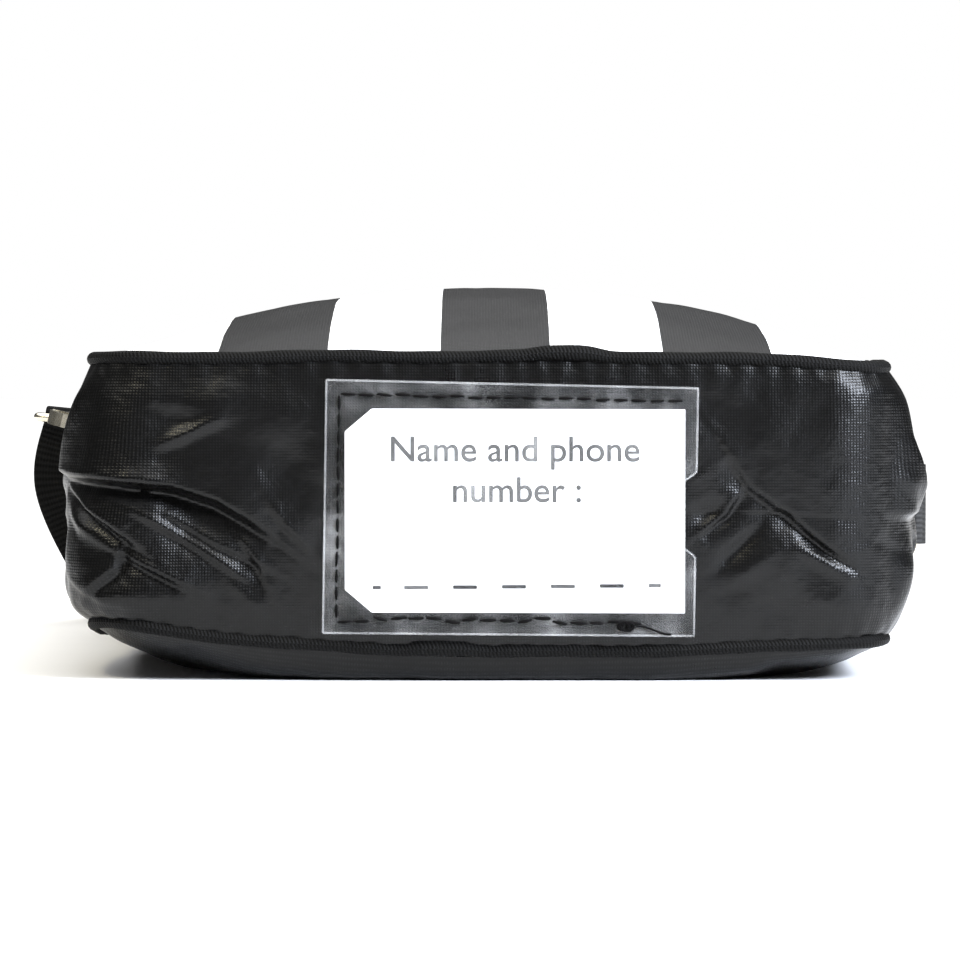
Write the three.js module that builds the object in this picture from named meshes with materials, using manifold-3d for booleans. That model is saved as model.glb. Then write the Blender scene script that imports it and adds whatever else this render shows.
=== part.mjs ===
// Insulated lunch bag lying on its back, in millimetres.
// +Z is up and out of the striped front, +Y runs from the bag's bottom to its mouth, +X is to the right.
// The origin is the middle of the flat patch of the back panel that rests on the table.
import * as THREE from "three";
import { mergeVertices } from "three/addons/utils/BufferGeometryUtils.js";
import Module from "manifold-3d";

const wasm = await Module();
wasm.setup();

// ---- Driving dimensions ----
const PANEL_W = 212; // front and back panels, seam to seam
const PANEL_H = 215;
const BOTTOM_R = 20; // corner radii of the panels
const TOP_R = 24;
const FRONT_SEAM_Z = 85.5;
const BACK_SEAM_Z = 8;
const FRONT_DROP = 2.5; // how far the seams sag and rise at the panels' corners
const BACK_RISE = 6;
const FRONT_CROWN = 20; // how far the stuffed front stands over its seam
const BACK_CROWN = 13; // the same for the back, which the table flattens
const SIDE_BULGE = 12; // outward bulge of the gusset between its two seams
const BOTTOM_BULGE = 3.6;
const MOUTH_BULGE = 6;
const FABRIC = 1; // shell cloth
const FOAM = 4; // insulating foam
const LINING = 0.5;
const GAP = 0.3; // between separate layers
const PIPING_R = 1.75;
const SEAM_ROOM = PIPING_R + 0.35; // the cloth's edge stays this far from the seam line

const ZIP_Z = 47; // height of the zip's centre line
const FLAP_HALF_X = 68; // the two mouth strips span this far either side
const ZIP_HALF_X = 81; // the chain ends here, in the fixed cloth
const CHAIN_GAP = 1.3; // between the two rows of teeth
const TEETH_H = 1.65;
const TEETH_Y = [111.6, 113.4];

const WEBBING_W = 25;
const WEBBING_T = 1.4;
const WIRE_R = 1.5; // rings and eyes
const RING_DEPTH = 17.5;
const EYE_BAR = 36; // from the ring's wire to the eye bar that the strap hangs on
// Where each ring's bar sits beside the bag, how far it leans, how far the ring hangs out, how far
// its tab lifts off the side, how far the strap bows outwards below the eye and then tucks inwards.
const SIDES = {
  left: { sign: -1, x: 122.5, y: 79.5, z: 64, tilt: 14, swing: 40, standOff: 2.8, flare: 5, tuck: 9 },
  right: { sign: 1, x: 134.6, y: 76, z: 41, tilt: 0, swing: -27, standOff: 12.8, flare: 0, tuck: 3 },
};

const CARD = { x: [-38, 51.3], y: [-112.65, -112.25], z: [18.2, 71.9] };
const SLEEVE = { x: [-42.7, 54.2], y: [-113.6, -111.4], z: [12.4, 79.2] };
const POCKET = { x: [-39, 60], y: [-112.9, -112], z: [17.2, 73] };
const NOTCH = { z: 44.1, depth: 4, outer: 11.5, inner: 7.5 }; // the thumb notch, in half heights

const HALF_W = PANEL_W / 2;
const HALF_H = PANEL_H / 2;
const rad = THREE.MathUtils.degToRad;

// ---- Materials ----
const finish = (color, roughness, metalness = 0, more = {}) =>
  new THREE.MeshStandardMaterial({ color, roughness, metalness, ...more });
const MATERIAL = {
  stripe: finish(0xf2f2ef, 0.7),
  nylon: finish(0x17181b, 0.45),
  piping: finish(0x131316, 0.6),
  foam: finish(0xe8e8e4, 0.9),
  foil: finish(0xc9ccd0, 0.3, 0.4),
  webbing: finish(0x0d0d0f, 0.8),
  metal: finish(0xcfcab8, 0.25, 1),
  vinyl: finish(0x8f9296, 0.1, 0, { transparent: true, opacity: 0.35 }),
  card: finish(0xf7f7f5, 0.6),
  zip: finish(0x121214, 0.6),
};

// ---- Geometry helpers ----
function toSolid(geometry) {
  const flat = geometry.index ? geometry.toNonIndexed() : geometry.clone();
  const bare = new THREE.BufferGeometry().setAttribute("position", flat.getAttribute("position"));
  const merged = mergeVertices(bare, 1e-4);
  return new wasm.Manifold(
    new wasm.Mesh({
      numProp: 3,
      vertProperties: merged.attributes.position.array,
      triVerts: new Uint32Array(merged.index.array),
    }),
  );
}

function toGeometry(solid) {
  const mesh = solid.getMesh();
  const geometry = new THREE.BufferGeometry();
  geometry.setAttribute("position", new THREE.BufferAttribute(mesh.vertProperties, 3));
  geometry.setIndex(new THREE.BufferAttribute(mesh.triVerts, 1));
  geometry.computeVertexNormals();
  return geometry;
}

function box(xs, ys, zs) {
  const geometry = new THREE.BoxGeometry(xs[1] - xs[0], ys[1] - ys[0], zs[1] - zs[0]);
  return geometry.translate((xs[0] + xs[1]) / 2, (ys[0] + ys[1]) / 2, (zs[0] + zs[1]) / 2);
}

function cylinderY(radius, y0, y1, x = 0, z = 0) {
  return new THREE.CylinderGeometry(radius, radius, y1 - y0, 14).translate(x, (y0 + y1) / 2, z);
}

// A closed body between two grids of points: outside[i][j] and inside[i][j].
function sheet(outside, inside, closed = false) {
  const rows = outside.length;
  const columns = outside[0].length;
  const triangles = [];
  const quad = (a, b, c, d) => triangles.push(a, b, c, a, c, d);
  const last = closed ? rows : rows - 1;
  for (let i = 0; i < last; i++) {
    const k = (i + 1) % rows;
    for (let j = 0; j + 1 < columns; j++) {
      quad(outside[i][j], outside[i][j + 1], outside[k][j + 1], outside[k][j]);
      quad(inside[i][j], inside[k][j], inside[k][j + 1], inside[i][j + 1]);
    }
    const end = columns - 1;
    quad(outside[i][0], outside[k][0], inside[k][0], inside[i][0]);
    quad(outside[i][end], inside[i][end], inside[k][end], outside[k][end]);
  }
  if (!closed) {
    for (let j = 0; j + 1 < columns; j++) {
      const end = rows - 1;
      quad(outside[0][j], inside[0][j], inside[0][j + 1], outside[0][j + 1]);
      quad(outside[end][j], outside[end][j + 1], inside[end][j + 1], inside[end][j]);
    }
  }
  return facingOut(new THREE.BufferGeometry().setFromPoints(triangles));
}

// A closed body between two discs, each given as rings of points outwards from its middle.
function disc(outside, inside) {
  const triangles = [];
  const quad = (a, b, c, d) => triangles.push(a, b, c, a, c, d);
  const last = outside.length - 1;
  const count = outside[0].length;
  for (let j = 0; j < count; j++) {
    const k = (j + 1) % count;
    triangles.push(outside[0][0], outside[1][j], outside[1][k]);
    triangles.push(inside[0][0], inside[1][k], inside[1][j]);
    for (let i = 1; i < last; i++) {
      quad(outside[i][j], outside[i + 1][j], outside[i + 1][k], outside[i][k]);
      quad(inside[i][j], inside[i][k], inside[i + 1][k], inside[i + 1][j]);
    }
    quad(outside[last][j], inside[last][j], inside[last][k], outside[last][k]);
  }
  return facingOut(new THREE.BufferGeometry().setFromPoints(triangles));
}

// A closed hoop through rings of points.
function hoop(rings) {
  const triangles = [];
  rings.forEach((ring, i) => {
    const next = rings[(i + 1) % rings.length];
    ring.forEach((a, j) => {
      const k = (j + 1) % ring.length;
      triangles.push(a, next[j], next[k], a, next[k], ring[k]);
    });
  });
  return facingOut(new THREE.BufferGeometry().setFromPoints(triangles));
}

// Turns a closed body's faces round if they point inwards.
function facingOut(geometry) {
  const p = geometry.getAttribute("position");
  const [a, b, c] = [new THREE.Vector3(), new THREE.Vector3(), new THREE.Vector3()];
  let volume = 0;
  for (let i = 0; i < p.count; i += 3) {
    a.fromBufferAttribute(p, i);
    b.fromBufferAttribute(p, i + 1);
    c.fromBufferAttribute(p, i + 2);
    volume += a.dot(b.clone().cross(c));
  }
  if (volume < 0) {
    for (let i = 0; i < p.count; i += 3) {
      b.fromBufferAttribute(p, i + 1);
      c.fromBufferAttribute(p, i + 2);
      p.setXYZ(i + 1, c.x, c.y, c.z);
      p.setXYZ(i + 2, b.x, b.y, b.z);
    }
  }
  geometry.computeVertexNormals();
  return geometry;
}

// A closed loop of round wire in the plane of u and v. Each corner is a place and a bend radius.
const Y_AXIS = new THREE.Vector3(0, 1, 0);
function wireLoop(corners, u, v) {
  const across = u.clone().cross(v);
  const sides = 8;
  const rings = [];
  corners.forEach(([x, y, bend], i) => {
    const corner = new THREE.Vector2(x, y);
    const before = new THREE.Vector2(...corners.at(i - 1));
    const after = new THREE.Vector2(...corners[(i + 1) % corners.length]);
    const arriving = corner.clone().sub(before).normalize();
    const leaving = after.sub(corner).normalize();
    const turn = Math.acos(THREE.MathUtils.clamp(arriving.dot(leaving), -1, 1));
    const outward = new THREE.Vector2(arriving.y, -arriving.x);
    const middle = corner.addScaledVector(arriving, -bend * Math.tan(turn / 2));
    middle.addScaledVector(outward, -bend);
    const steps = Math.ceil(2 + bend / 3);
    for (let k = 0; k <= steps; k++) {
      const out = outward.clone().rotateAround(new THREE.Vector2(), (turn * k) / steps);
      const ring = Array.from({ length: sides }, (_, j) => {
        const angle = (2 * Math.PI * j) / sides;
        const reach = bend + WIRE_R * Math.cos(angle);
        return new THREE.Vector3()
          .addScaledVector(u, middle.x + out.x * reach)
          .addScaledVector(v, middle.y + out.y * reach)
          .addScaledVector(across, WIRE_R * Math.sin(angle));
      });
      rings.push(ring);
    }
  });
  return hoop(rings);
}

// ---- The panels' outline ----
// Points run from the mouth's left, down the left side, along the bottom and up the right side.
function outline({ inset = 0, startX, closed = false }) {
  const arcSteps = 4;
  const sideSteps = 4;
  const bottomSteps = 6;
  const mouthSteps = 5;
  const points = [];
  const straight = (from, to, steps, normal) => {
    for (let i = 1; i < steps; i++) {
      points.push({ p: from.clone().lerp(to, i / steps), n: normal.clone() });
    }
  };
  const corner = (sx, sy, radius, startAngle) => {
    const centre = new THREE.Vector2(sx * (HALF_W - radius), sy * (HALF_H - radius));
    for (let i = 0; i <= arcSteps; i++) {
      const angle = startAngle + (i / arcSteps) * (Math.PI / 2);
      const normal = new THREE.Vector2(Math.cos(angle), Math.sin(angle));
      points.push({ p: centre.clone().addScaledVector(normal, radius - inset), n: normal });
    }
  };
  const right = HALF_W - inset;
  const top = HALF_H - inset;
  const up = new THREE.Vector2(0, 1);
  const reachesMouth = startX < HALF_W - TOP_R - 1;
  if (reachesMouth) points.push({ p: new THREE.Vector2(-startX, top), n: up.clone() });
  corner(-1, 1, TOP_R, Math.PI / 2);
  const leftEnd = new THREE.Vector2(-right, -HALF_H + BOTTOM_R);
  straight(points.at(-1).p, leftEnd, sideSteps, new THREE.Vector2(-1, 0));
  corner(-1, -1, BOTTOM_R, Math.PI);
  const bottomEnd = new THREE.Vector2(HALF_W - BOTTOM_R, -top);
  straight(points.at(-1).p, bottomEnd, bottomSteps, new THREE.Vector2(0, -1));
  corner(1, -1, BOTTOM_R, 1.5 * Math.PI);
  const rightEnd = new THREE.Vector2(right, HALF_H - TOP_R);
  straight(points.at(-1).p, rightEnd, sideSteps, new THREE.Vector2(1, 0));
  corner(1, 1, TOP_R, 0);
  if (closed) straight(points.at(-1).p, new THREE.Vector2(-HALF_W + TOP_R, top), mouthSteps, up);
  else if (reachesMouth) points.push({ p: new THREE.Vector2(startX, top), n: up.clone() });
  return points;
}

const cornerShare = (x, y) => (x / HALF_W) ** 2 * (y / HALF_H) ** 2;
const frontSeam = (x, y) => FRONT_SEAM_Z - FRONT_DROP * cornerShare(x, y);
const backSeam = (x, y) => BACK_SEAM_Z + BACK_RISE * cornerShare(x, y);
const crownShare = (x, y) => Math.max(0, (1 - (x / HALF_W) ** 2) * (1 - (y / HALF_H) ** 2));
const frontTop = (x, y) => frontSeam(x, y) + FRONT_CROWN * crownShare(x, y);
const backBottom = (x, y) => Math.max(0, backSeam(x, y) - BACK_CROWN * crownShare(x, y));

// A crowned panel layer: surface gives its outer face, and depth0 and depth1 its two faces below that.
// Its rings of points are shares of the panel's rim, so that layers with the same rings never touch.
const PANEL_RINGS = [0, 0.3, 0.62, 0.85, 0.94, 1];
const INNER_RINGS = PANEL_RINGS.slice(0, -1);
function panelLayer(surface, inward, depth0, depth1, shares) {
  const rim = outline({ inset: SEAM_ROOM, startX: HALF_W, closed: true });
  const ring = (share, depth) =>
    rim.map(({ p }) => {
      const [x, y] = [p.x * share, p.y * share];
      return new THREE.Vector3(x, y, surface(x, y) + inward * depth);
    });
  return disc(
    shares.map((share) => ring(share, depth0)),
    shares.map((share) => ring(share, depth1)),
  );
}

// The gusset's outward bulge for an outward normal, at height w from -1 (back seam) to 1 (front seam).
function bulge(normal, w) {
  const end = normal.y < 0 ? BOTTOM_BULGE : MOUTH_BULGE;
  return (SIDE_BULGE * normal.x ** 2 + end * normal.y ** 2) * (1 - w * w);
}

// One layer of the gusset that runs down the left side, under the bag and up the right side.
const GUSSET_ROWS = 5;
function gussetLayer(depth0, depth1, startX) {
  const path = outline({ startX });
  const grid = (depth) =>
    path.map(({ p, n }) => {
      const low = backSeam(p.x, p.y) + SEAM_ROOM;
      const high = frontSeam(p.x, p.y) - SEAM_ROOM;
      return Array.from({ length: GUSSET_ROWS + 1 }, (_, j) => {
        const w = -1 + (2 * j) / GUSSET_ROWS;
        const out = bulge(n, w) - depth;
        const z = (low + high) / 2 + (w * (high - low)) / 2;
        return new THREE.Vector3(p.x + n.x * out, p.y + n.y * out, z);
      });
    });
  return sheet(grid(depth0), grid(depth1));
}

// One layer of a mouth strip between two heights.
function mouthLayer(depth0, depth1, z0, z1) {
  const middle = (FRONT_SEAM_Z + BACK_SEAM_Z) / 2;
  const half = (FRONT_SEAM_Z - BACK_SEAM_Z) / 2 - SEAM_ROOM;
  const steps = 4;
  const grid = (depth) =>
    [-FLAP_HALF_X + GAP, FLAP_HALF_X - GAP].map((x) =>
      Array.from({ length: steps + 1 }, (_, j) => {
        const z = z0 + ((z1 - z0) * j) / steps;
        const w = (z - middle) / half;
        return new THREE.Vector3(x, HALF_H + MOUTH_BULGE * (1 - w * w) - depth, z);
      }),
    );
  return sheet(grid(depth0), grid(depth1));
}

const bag = new THREE.Group();
function add(name, geometry, material, parent = bag) {
  const mesh = new THREE.Mesh(geometry, material);
  mesh.name = name;
  parent.add(mesh);
  return mesh;
}

// ---- Shell, foam and lining ----
const foamDepth = [FABRIC + GAP, FABRIC + GAP + FOAM];
const liningDepth = [foamDepth[1] + GAP, foamDepth[1] + GAP + LINING];
for (const [side, surface, inward, cloth] of [
  ["front", frontTop, -1, MATERIAL.stripe],
  ["back", backBottom, 1, MATERIAL.nylon],
]) {
  add(`${side}_panel`, panelLayer(surface, inward, 0, FABRIC, PANEL_RINGS), cloth);
  add(`${side}_foam`, panelLayer(surface, inward, ...foamDepth, INNER_RINGS), MATERIAL.foam);
  add(`${side}_lining`, panelLayer(surface, inward, ...liningDepth, INNER_RINGS), MATERIAL.foil);
}

// The shell gusset reaches past the mouth's corners, where a slot at each end holds the end of the zip.
const SLOT_HALF_Z = 5;
const SLOT_X = [60, ZIP_HALF_X + 0.4];
const THROUGH_Y = [100, 120]; // a cut this far goes right through the mouth's cloth
const onSide = (sign, near, far) => (sign > 0 ? [near, far] : [-far, -near]);
const slot = (sign) =>
  toSolid(box(onSide(sign, ...SLOT_X), THROUGH_Y, [ZIP_Z - SLOT_HALF_Z, ZIP_Z + SLOT_HALF_Z]));
const wholeGusset = toSolid(gussetLayer(0, FABRIC, FLAP_HALF_X + GAP));
const shellGusset = wholeGusset.subtract(slot(-1)).subtract(slot(1));
const cornerX = HALF_W - TOP_R;
add("gusset_shell", toGeometry(shellGusset), MATERIAL.nylon);
add("gusset_foam", gussetLayer(...foamDepth, cornerX), MATERIAL.foam);
add("gusset_lining", gussetLayer(...liningDepth, cornerX), MATERIAL.foil);

function piping(seam) {
  const sides = 6;
  const rings = outline({ startX: HALF_W, closed: true }).map(({ p, n }) =>
    Array.from({ length: sides }, (_, j) => {
      const out = PIPING_R * Math.cos((2 * Math.PI * j) / sides);
      const rise = PIPING_R * Math.sin((2 * Math.PI * j) / sides);
      return new THREE.Vector3(p.x + n.x * out, p.y + n.y * out, seam(p.x, p.y) + rise);
    }),
  );
  return hoop(rings);
}
add("front_piping", piping(frontSeam), MATERIAL.piping);
add("back_piping", piping(backSeam), MATERIAL.piping);

// ---- Name window under the bag: a clear sleeve, open at its right end, and the card in it ----
function thumbNotch() {
  const shape = new THREE.Shape();
  shape.moveTo(NOTCH.depth, -NOTCH.outer);
  shape.lineTo(0, -NOTCH.outer);
  shape.lineTo(-NOTCH.depth, -NOTCH.inner);
  shape.lineTo(-NOTCH.depth, NOTCH.inner);
  shape.lineTo(0, NOTCH.outer);
  shape.lineTo(NOTCH.depth, NOTCH.outer);
  shape.closePath();
  const prism = new THREE.ExtrudeGeometry(shape, { depth: 20, bevelEnabled: false });
  return prism.rotateX(Math.PI / 2).translate(SLEEVE.x[1], -100, NOTCH.z);
}
const sleeve = toSolid(box(SLEEVE.x, SLEEVE.y, SLEEVE.z))
  .subtract(toSolid(box(POCKET.x, POCKET.y, POCKET.z)))
  .subtract(toSolid(thumbNotch()));
add("name_window_sleeve", toGeometry(sleeve), MATERIAL.vinyl);
add("name_card", box(CARD.x, CARD.y, CARD.z), MATERIAL.card);

// ---- Mouth strips and zip ----
const STRIP_EDGE = 6; // the strips' cloth stops this far from the zip's centre line
const TAPE_REACH = 11; // and the zip tape reaches this far
const TAPE = 0.5;
const STRIP_FOAM = 3;
const CHAIN_X = [-FLAP_HALF_X + GAP, FLAP_HALF_X - GAP];
const FOLD_ROOM = 1.25; // between a strip's folding edge and the piping
const teethNear = CHAIN_GAP / 2;
const teethFar = teethNear + TEETH_H;
for (const [side, sign, seam] of [
  ["front", 1, frontSeam],
  ["back", -1, backSeam],
]) {
  const edge = seam(FLAP_HALF_X, HALF_H) - sign * (PIPING_R + FOLD_ROOM);
  const span = (a, b) => (sign > 0 ? [a, b] : [b, a]);
  const at = (offset) => ZIP_Z + sign * offset;
  const stripZ = span(at(STRIP_EDGE), edge);
  const foamZ = span(at(TAPE_REACH + GAP), edge - sign * FOAM);
  const tapeZ = span(at(teethFar + GAP), at(TAPE_REACH));
  const teethZ = span(at(teethNear), at(teethFar));
  const inside = foamDepth[0];
  add(`mouth_${side}_strip`, mouthLayer(0, FABRIC, ...stripZ), MATERIAL.nylon);
  add(`mouth_${side}_foam`, mouthLayer(inside, inside + STRIP_FOAM, ...foamZ), MATERIAL.foam);
  add(`zip_tape_${side}`, mouthLayer(inside, inside + TAPE, ...tapeZ), MATERIAL.zip);
  add(`zip_teeth_${side}`, box(CHAIN_X, TEETH_Y, teethZ), MATERIAL.zip);
}

// The fixed end of the chain: two short rows joined by a stop.
const STOP_X = 79.8;
for (const [side, sign] of [["left", -1], ["right", 1]]) {
  const chainZ = [ZIP_Z - teethFar, ZIP_Z + teethFar];
  const rows = box(onSide(sign, FLAP_HALF_X + GAP, ZIP_HALF_X), TEETH_Y, chainZ);
  const gapZ = [ZIP_Z - teethNear, ZIP_Z + teethNear];
  const between = box(onSide(sign, FLAP_HALF_X - 1, STOP_X), THROUGH_Y, gapZ);
  add(`zip_end_${side}`, toGeometry(toSolid(rows).subtract(toSolid(between))), MATERIAL.zip);
}

// The slider: two plates joined by a thin post that runs between the rows, under a bridge for the pull.
const SLIDER_X = 74.5;
const PLATE_X = [-4.6, 4.6];
const PLATE_Z = [-4.3, 4.3];
const BRIDGE_Y = 118.4;
const BRIDGE_HALF = 0.4;
function sliderSolid() {
  const outerPlate = [113.8, 114.8];
  const lips = [112.7, 114];
  const posts = [114.5, BRIDGE_Y + BRIDGE_HALF];
  const parts = [
    box(PLATE_X, outerPlate, PLATE_Z),
    box(PLATE_X, [110, 111], PLATE_Z),
    box([1.6, PLATE_X[1]], [110.5, 114], [-0.35, 0.35]),
    box(PLATE_X, lips, [PLATE_Z[0], PLATE_Z[0] + 1]),
    box(PLATE_X, lips, [PLATE_Z[1] - 1, PLATE_Z[1]]),
    box([-3.2, -2], posts, [-0.5, 0.5]),
    box([2, 3.2], posts, [-0.5, 0.5]),
    box([-3.2, 3.2], [BRIDGE_Y - BRIDGE_HALF, BRIDGE_Y + BRIDGE_HALF], [-0.5, 0.5]),
  ];
  return parts.map(toSolid).reduce((all, part) => all.add(part));
}
const slider = new THREE.Group();
slider.position.set(SLIDER_X, 0, ZIP_Z);
bag.add(slider);
add("zip_slider", toGeometry(sliderSolid()), MATERIAL.metal, slider);

// The pull hangs by a ring from the bridge: its origin is the bridge's bar, which it swings on.
const PULL_RING_R = 2.5;
const PULL_DROP = 1.2; // the ring's middle hangs this far under the bar
const PULL_END = 26;
function zipPull() {
  const ring = new THREE.TorusGeometry(PULL_RING_R, 0.5, 8, 20).rotateY(Math.PI / 2);
  ring.translate(0, 0, -PULL_DROP);
  const shape = new THREE.Shape();
  const half = 3.5;
  shape.moveTo(-half, -PULL_END + half);
  shape.absarc(0, -PULL_END + half, half, Math.PI, 2 * Math.PI, false);
  shape.lineTo(2, -PULL_DROP - PULL_RING_R);
  shape.lineTo(-2, -PULL_DROP - PULL_RING_R);
  shape.closePath();
  const slotted = new THREE.Path();
  slotted.absarc(0, -PULL_END + half, 1.5, Math.PI, 2 * Math.PI, false);
  slotted.absarc(0, -PULL_END + 2.4 * half, 1.5, 0, Math.PI, false);
  shape.holes.push(slotted);
  const thickness = 1.3;
  const tab = new THREE.ExtrudeGeometry(shape, { depth: thickness, bevelEnabled: false, curveSegments: 6 });
  return toSolid(tab.translate(0, 0, -thickness / 2).rotateX(Math.PI / 2)).add(toSolid(ring));
}
add("zip_pull", toGeometry(zipPull()), MATERIAL.metal, slider).position.y = BRIDGE_Y;

// ---- Ring, snap hook and swivel eye on each side ----
// The outline of a thick line through points.
function stroke(line, half) {
  const side = (turn) =>
    line.map((p, i) => {
      const next = line[Math.min(i + 1, line.length - 1)];
      const along = next.clone().sub(line[Math.max(i - 1, 0)]).normalize();
      return p.clone().add(new THREE.Vector2(-along.y, along.x).multiplyScalar(turn * half));
    });
  return new THREE.Shape([...side(1), ...side(-1).reverse()]);
}

// A shape in X and Y, given a thickness that is centred on z = 0.
function slab(shape, thickness) {
  const options = { depth: thickness, bevelEnabled: false, curveSegments: 10 };
  return toSolid(new THREE.ExtrudeGeometry(shape, options).translate(0, 0, -thickness / 2));
}

// A tab of doubled webbing is sewn flat to the side, lifts off it and loops round the ring's bar.
const TAB_LOOP_R = 3.4;
const TAB_LENGTH = 34;
function ringTab(standOff) {
  const flatX = -TAB_LOOP_R - standOff + WEBBING_T;
  const wallX = -TAB_LOOP_R + 0.9;
  const line = [
    new THREE.Vector2(flatX, -TAB_LENGTH),
    new THREE.Vector2(flatX, -TAB_LENGTH + 12),
    new THREE.Vector2(THREE.MathUtils.lerp(flatX, wallX, 0.12), -TAB_LENGTH + 16),
    new THREE.Vector2(THREE.MathUtils.lerp(flatX, wallX, 0.88), -5),
    new THREE.Vector2(wallX, -1.5),
  ];
  const loop = new THREE.Shape().absarc(0, 0, TAB_LOOP_R, 0, 2 * Math.PI, false);
  const hollow = new THREE.Shape().absarc(0, 0, WIRE_R + 0.4, 0, 2 * Math.PI, false);
  const tab = slab(stroke(line, WEBBING_T), WEBBING_W).add(slab(loop, WEBBING_W));
  return tab.subtract(slab(hollow, 2 * WEBBING_W));
}

// The D, with its bar on the Z axis and its half-round bow towards +Y.
const D_HALF = 14.5;
const D_CORNER = 1.9;
function dRing() {
  const corners = [
    [0, D_HALF, D_CORNER],
    [0, -D_HALF, D_CORNER],
    [RING_DEPTH, -D_HALF, D_HALF],
    [RING_DEPTH, D_HALF, D_HALF],
  ];
  return wireLoop(corners, Y_AXIS, new THREE.Vector3(0, 0, 1));
}

// The hook's nose is a thick stroke round the ring's wire, which runs along Z through the origin.
const HOOK_T = 4.4;
const GATE_PIVOT = new THREE.Vector2(5.8, 12.2);
function hookBody() {
  const bend = 6;
  const halfStroke = 1.5;
  const line = [new THREE.Vector2(-2, 13), new THREE.Vector2(-5.4, 7.5)];
  for (let i = 0; i <= 10; i++) {
    const angle = Math.PI + (i / 10) * Math.PI;
    line.push(new THREE.Vector2(bend * Math.cos(angle), bend * Math.sin(angle)));
  }
  line.push(new THREE.Vector2(bend, 1.9));
  const thick = [-HOOK_T / 2, HOOK_T / 2];
  return slab(stroke(line, halfStroke), HOOK_T)
    .add(toSolid(box([-4.4, 8], [10.6, 15.4], thick)))
    .add(toSolid(box([-4.2, 4.2], [15, 24], thick)))
    .add(toSolid(cylinderY(4.2, 19.2, 24)))
    .subtract(toSolid(box([-2.5, 2.5], [16.2, 19.4], [-9, 9])))
    .subtract(toSolid(cylinderY(1.9, 19, 25)))
    .subtract(toSolid(box([3.4, 9], [9, 14.7], [-1.3, 1.3])))
    .subtract(toSolid(gatePin(0.95)));
}
function gatePin(radius) {
  const pin = new THREE.CylinderGeometry(radius, radius, HOOK_T, 12).rotateX(Math.PI / 2);
  return pin.translate(GATE_PIVOT.x, GATE_PIVOT.y, 0);
}
function hookGate() {
  const root = new THREE.CylinderGeometry(1.9, 1.9, 2, 16).rotateX(Math.PI / 2);
  return toSolid(root.translate(GATE_PIVOT.x, GATE_PIVOT.y, 0))
    .add(toSolid(box([4.8, 6.8], [2.4, GATE_PIVOT.y], [-1, 1])))
    .subtract(toSolid(gatePin(0.95)));
}
function swivelEye() {
  const [front, half, bend] = [28.5, 14.5, 1.9];
  const corners = [
    [half, EYE_BAR, bend],
    [-half, EYE_BAR, bend],
    [-half, front, bend],
    [half, front, bend],
  ];
  return toSolid(wireLoop(corners, new THREE.Vector3(1, 0, 0), Y_AXIS))
    .add(toSolid(cylinderY(1.5, 17.4, front)))
    .add(toSolid(cylinderY(2.2, 16.6, 18.2)));
}

const eyes = {};
for (const [name, side] of Object.entries(SIDES)) {
  const frame = new THREE.Group();
  frame.position.set(side.sign * side.x, side.y, side.z);
  frame.rotation.y = rad(side.tilt);
  frame.scale.x = side.sign;
  bag.add(frame);
  add(`${name}_ring_tab`, toGeometry(ringTab(side.standOff)), MATERIAL.webbing, frame);
  const ring = add(`${name}_d_ring`, dRing(), MATERIAL.metal, frame);
  ring.rotation.z = -rad(side.swing);
  const hook = new THREE.Group();
  hook.position.set(RING_DEPTH * Math.sin(rad(side.swing)), RING_DEPTH * Math.cos(rad(side.swing)), 0);
  frame.add(hook);
  add(`${name}_hook`, toGeometry(hookBody()), MATERIAL.metal, hook);
  add(`${name}_hook_gate`, toGeometry(hookGate()), MATERIAL.metal, hook);
  add(`${name}_gate_pin`, gatePin(0.75), MATERIAL.metal, hook);
  frame.updateMatrixWorld(true);
  eyes[name] = new THREE.Vector3().setFromMatrixPosition(hook.matrixWorld);
}

// Both eye bars lie on one line, which the strap swings about.
const axis = eyes.right.clone().sub(eyes.left).normalize();
for (const [name, place] of Object.entries(eyes)) {
  const eye = add(`${name}_swivel_eye`, toGeometry(swivelEye()), MATERIAL.metal);
  eye.position.copy(place);
  eye.rotation.y = -Math.atan2(axis.z, axis.x);
}

// ---- Shoulder strap ----
// It hangs from each eye, turns on to its edge and lies in a loop on the table behind the mouth.
const STRAP_Y = 214; // the straight stretch behind the bag
const STRAIGHT_X = 44; // reaches this far either side
const ON_EDGE_Z = 13.3; // centre height of webbing standing on its edge
const RAISED_Z = 16; // and under the adjuster
const EYE_SLACK = 1; // the strap's loops are this loose on the eye bars
const LOOP_R = WIRE_R + EYE_SLACK + WEBBING_T / 2;
const up = new THREE.Vector3(0, 0, 1);
const point = (x, y, z) => new THREE.Vector3(x, y, z);

// Stations from an eye to the start of the straight stretch. Each is a place and a width direction.
function leg(eye, { sign, flare, tuck }) {
  const across = axis.clone().multiplyScalar(-sign);
  const bar = eye.clone().add(point(0, EYE_BAR, 0));
  const turned = across.clone().add(up).normalize();
  return [
    [bar.clone().add(point(0, LOOP_R, 0)), across],
    [point(bar.x + sign * (flare - 1), bar.y + LOOP_R + 1, Math.max(32, bar.z - 20)), across],
    [point(bar.x - sign * tuck, bar.y + 10, 17), across.clone().lerp(turned, 0.5).normalize()],
    [point(bar.x - sign * (tuck + 2), bar.y + 27, ON_EDGE_Z + 0.4), turned],
    [point(bar.x - sign * (tuck + 4), bar.y + 48, ON_EDGE_Z), up],
    [point(sign * 92, STRAP_Y - 8, ON_EDGE_Z + 1), up],
    [point(sign * 68, STRAP_Y, RAISED_Z), up],
    [point(sign * STRAIGHT_X, STRAP_Y, RAISED_Z), up],
  ];
}
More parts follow.
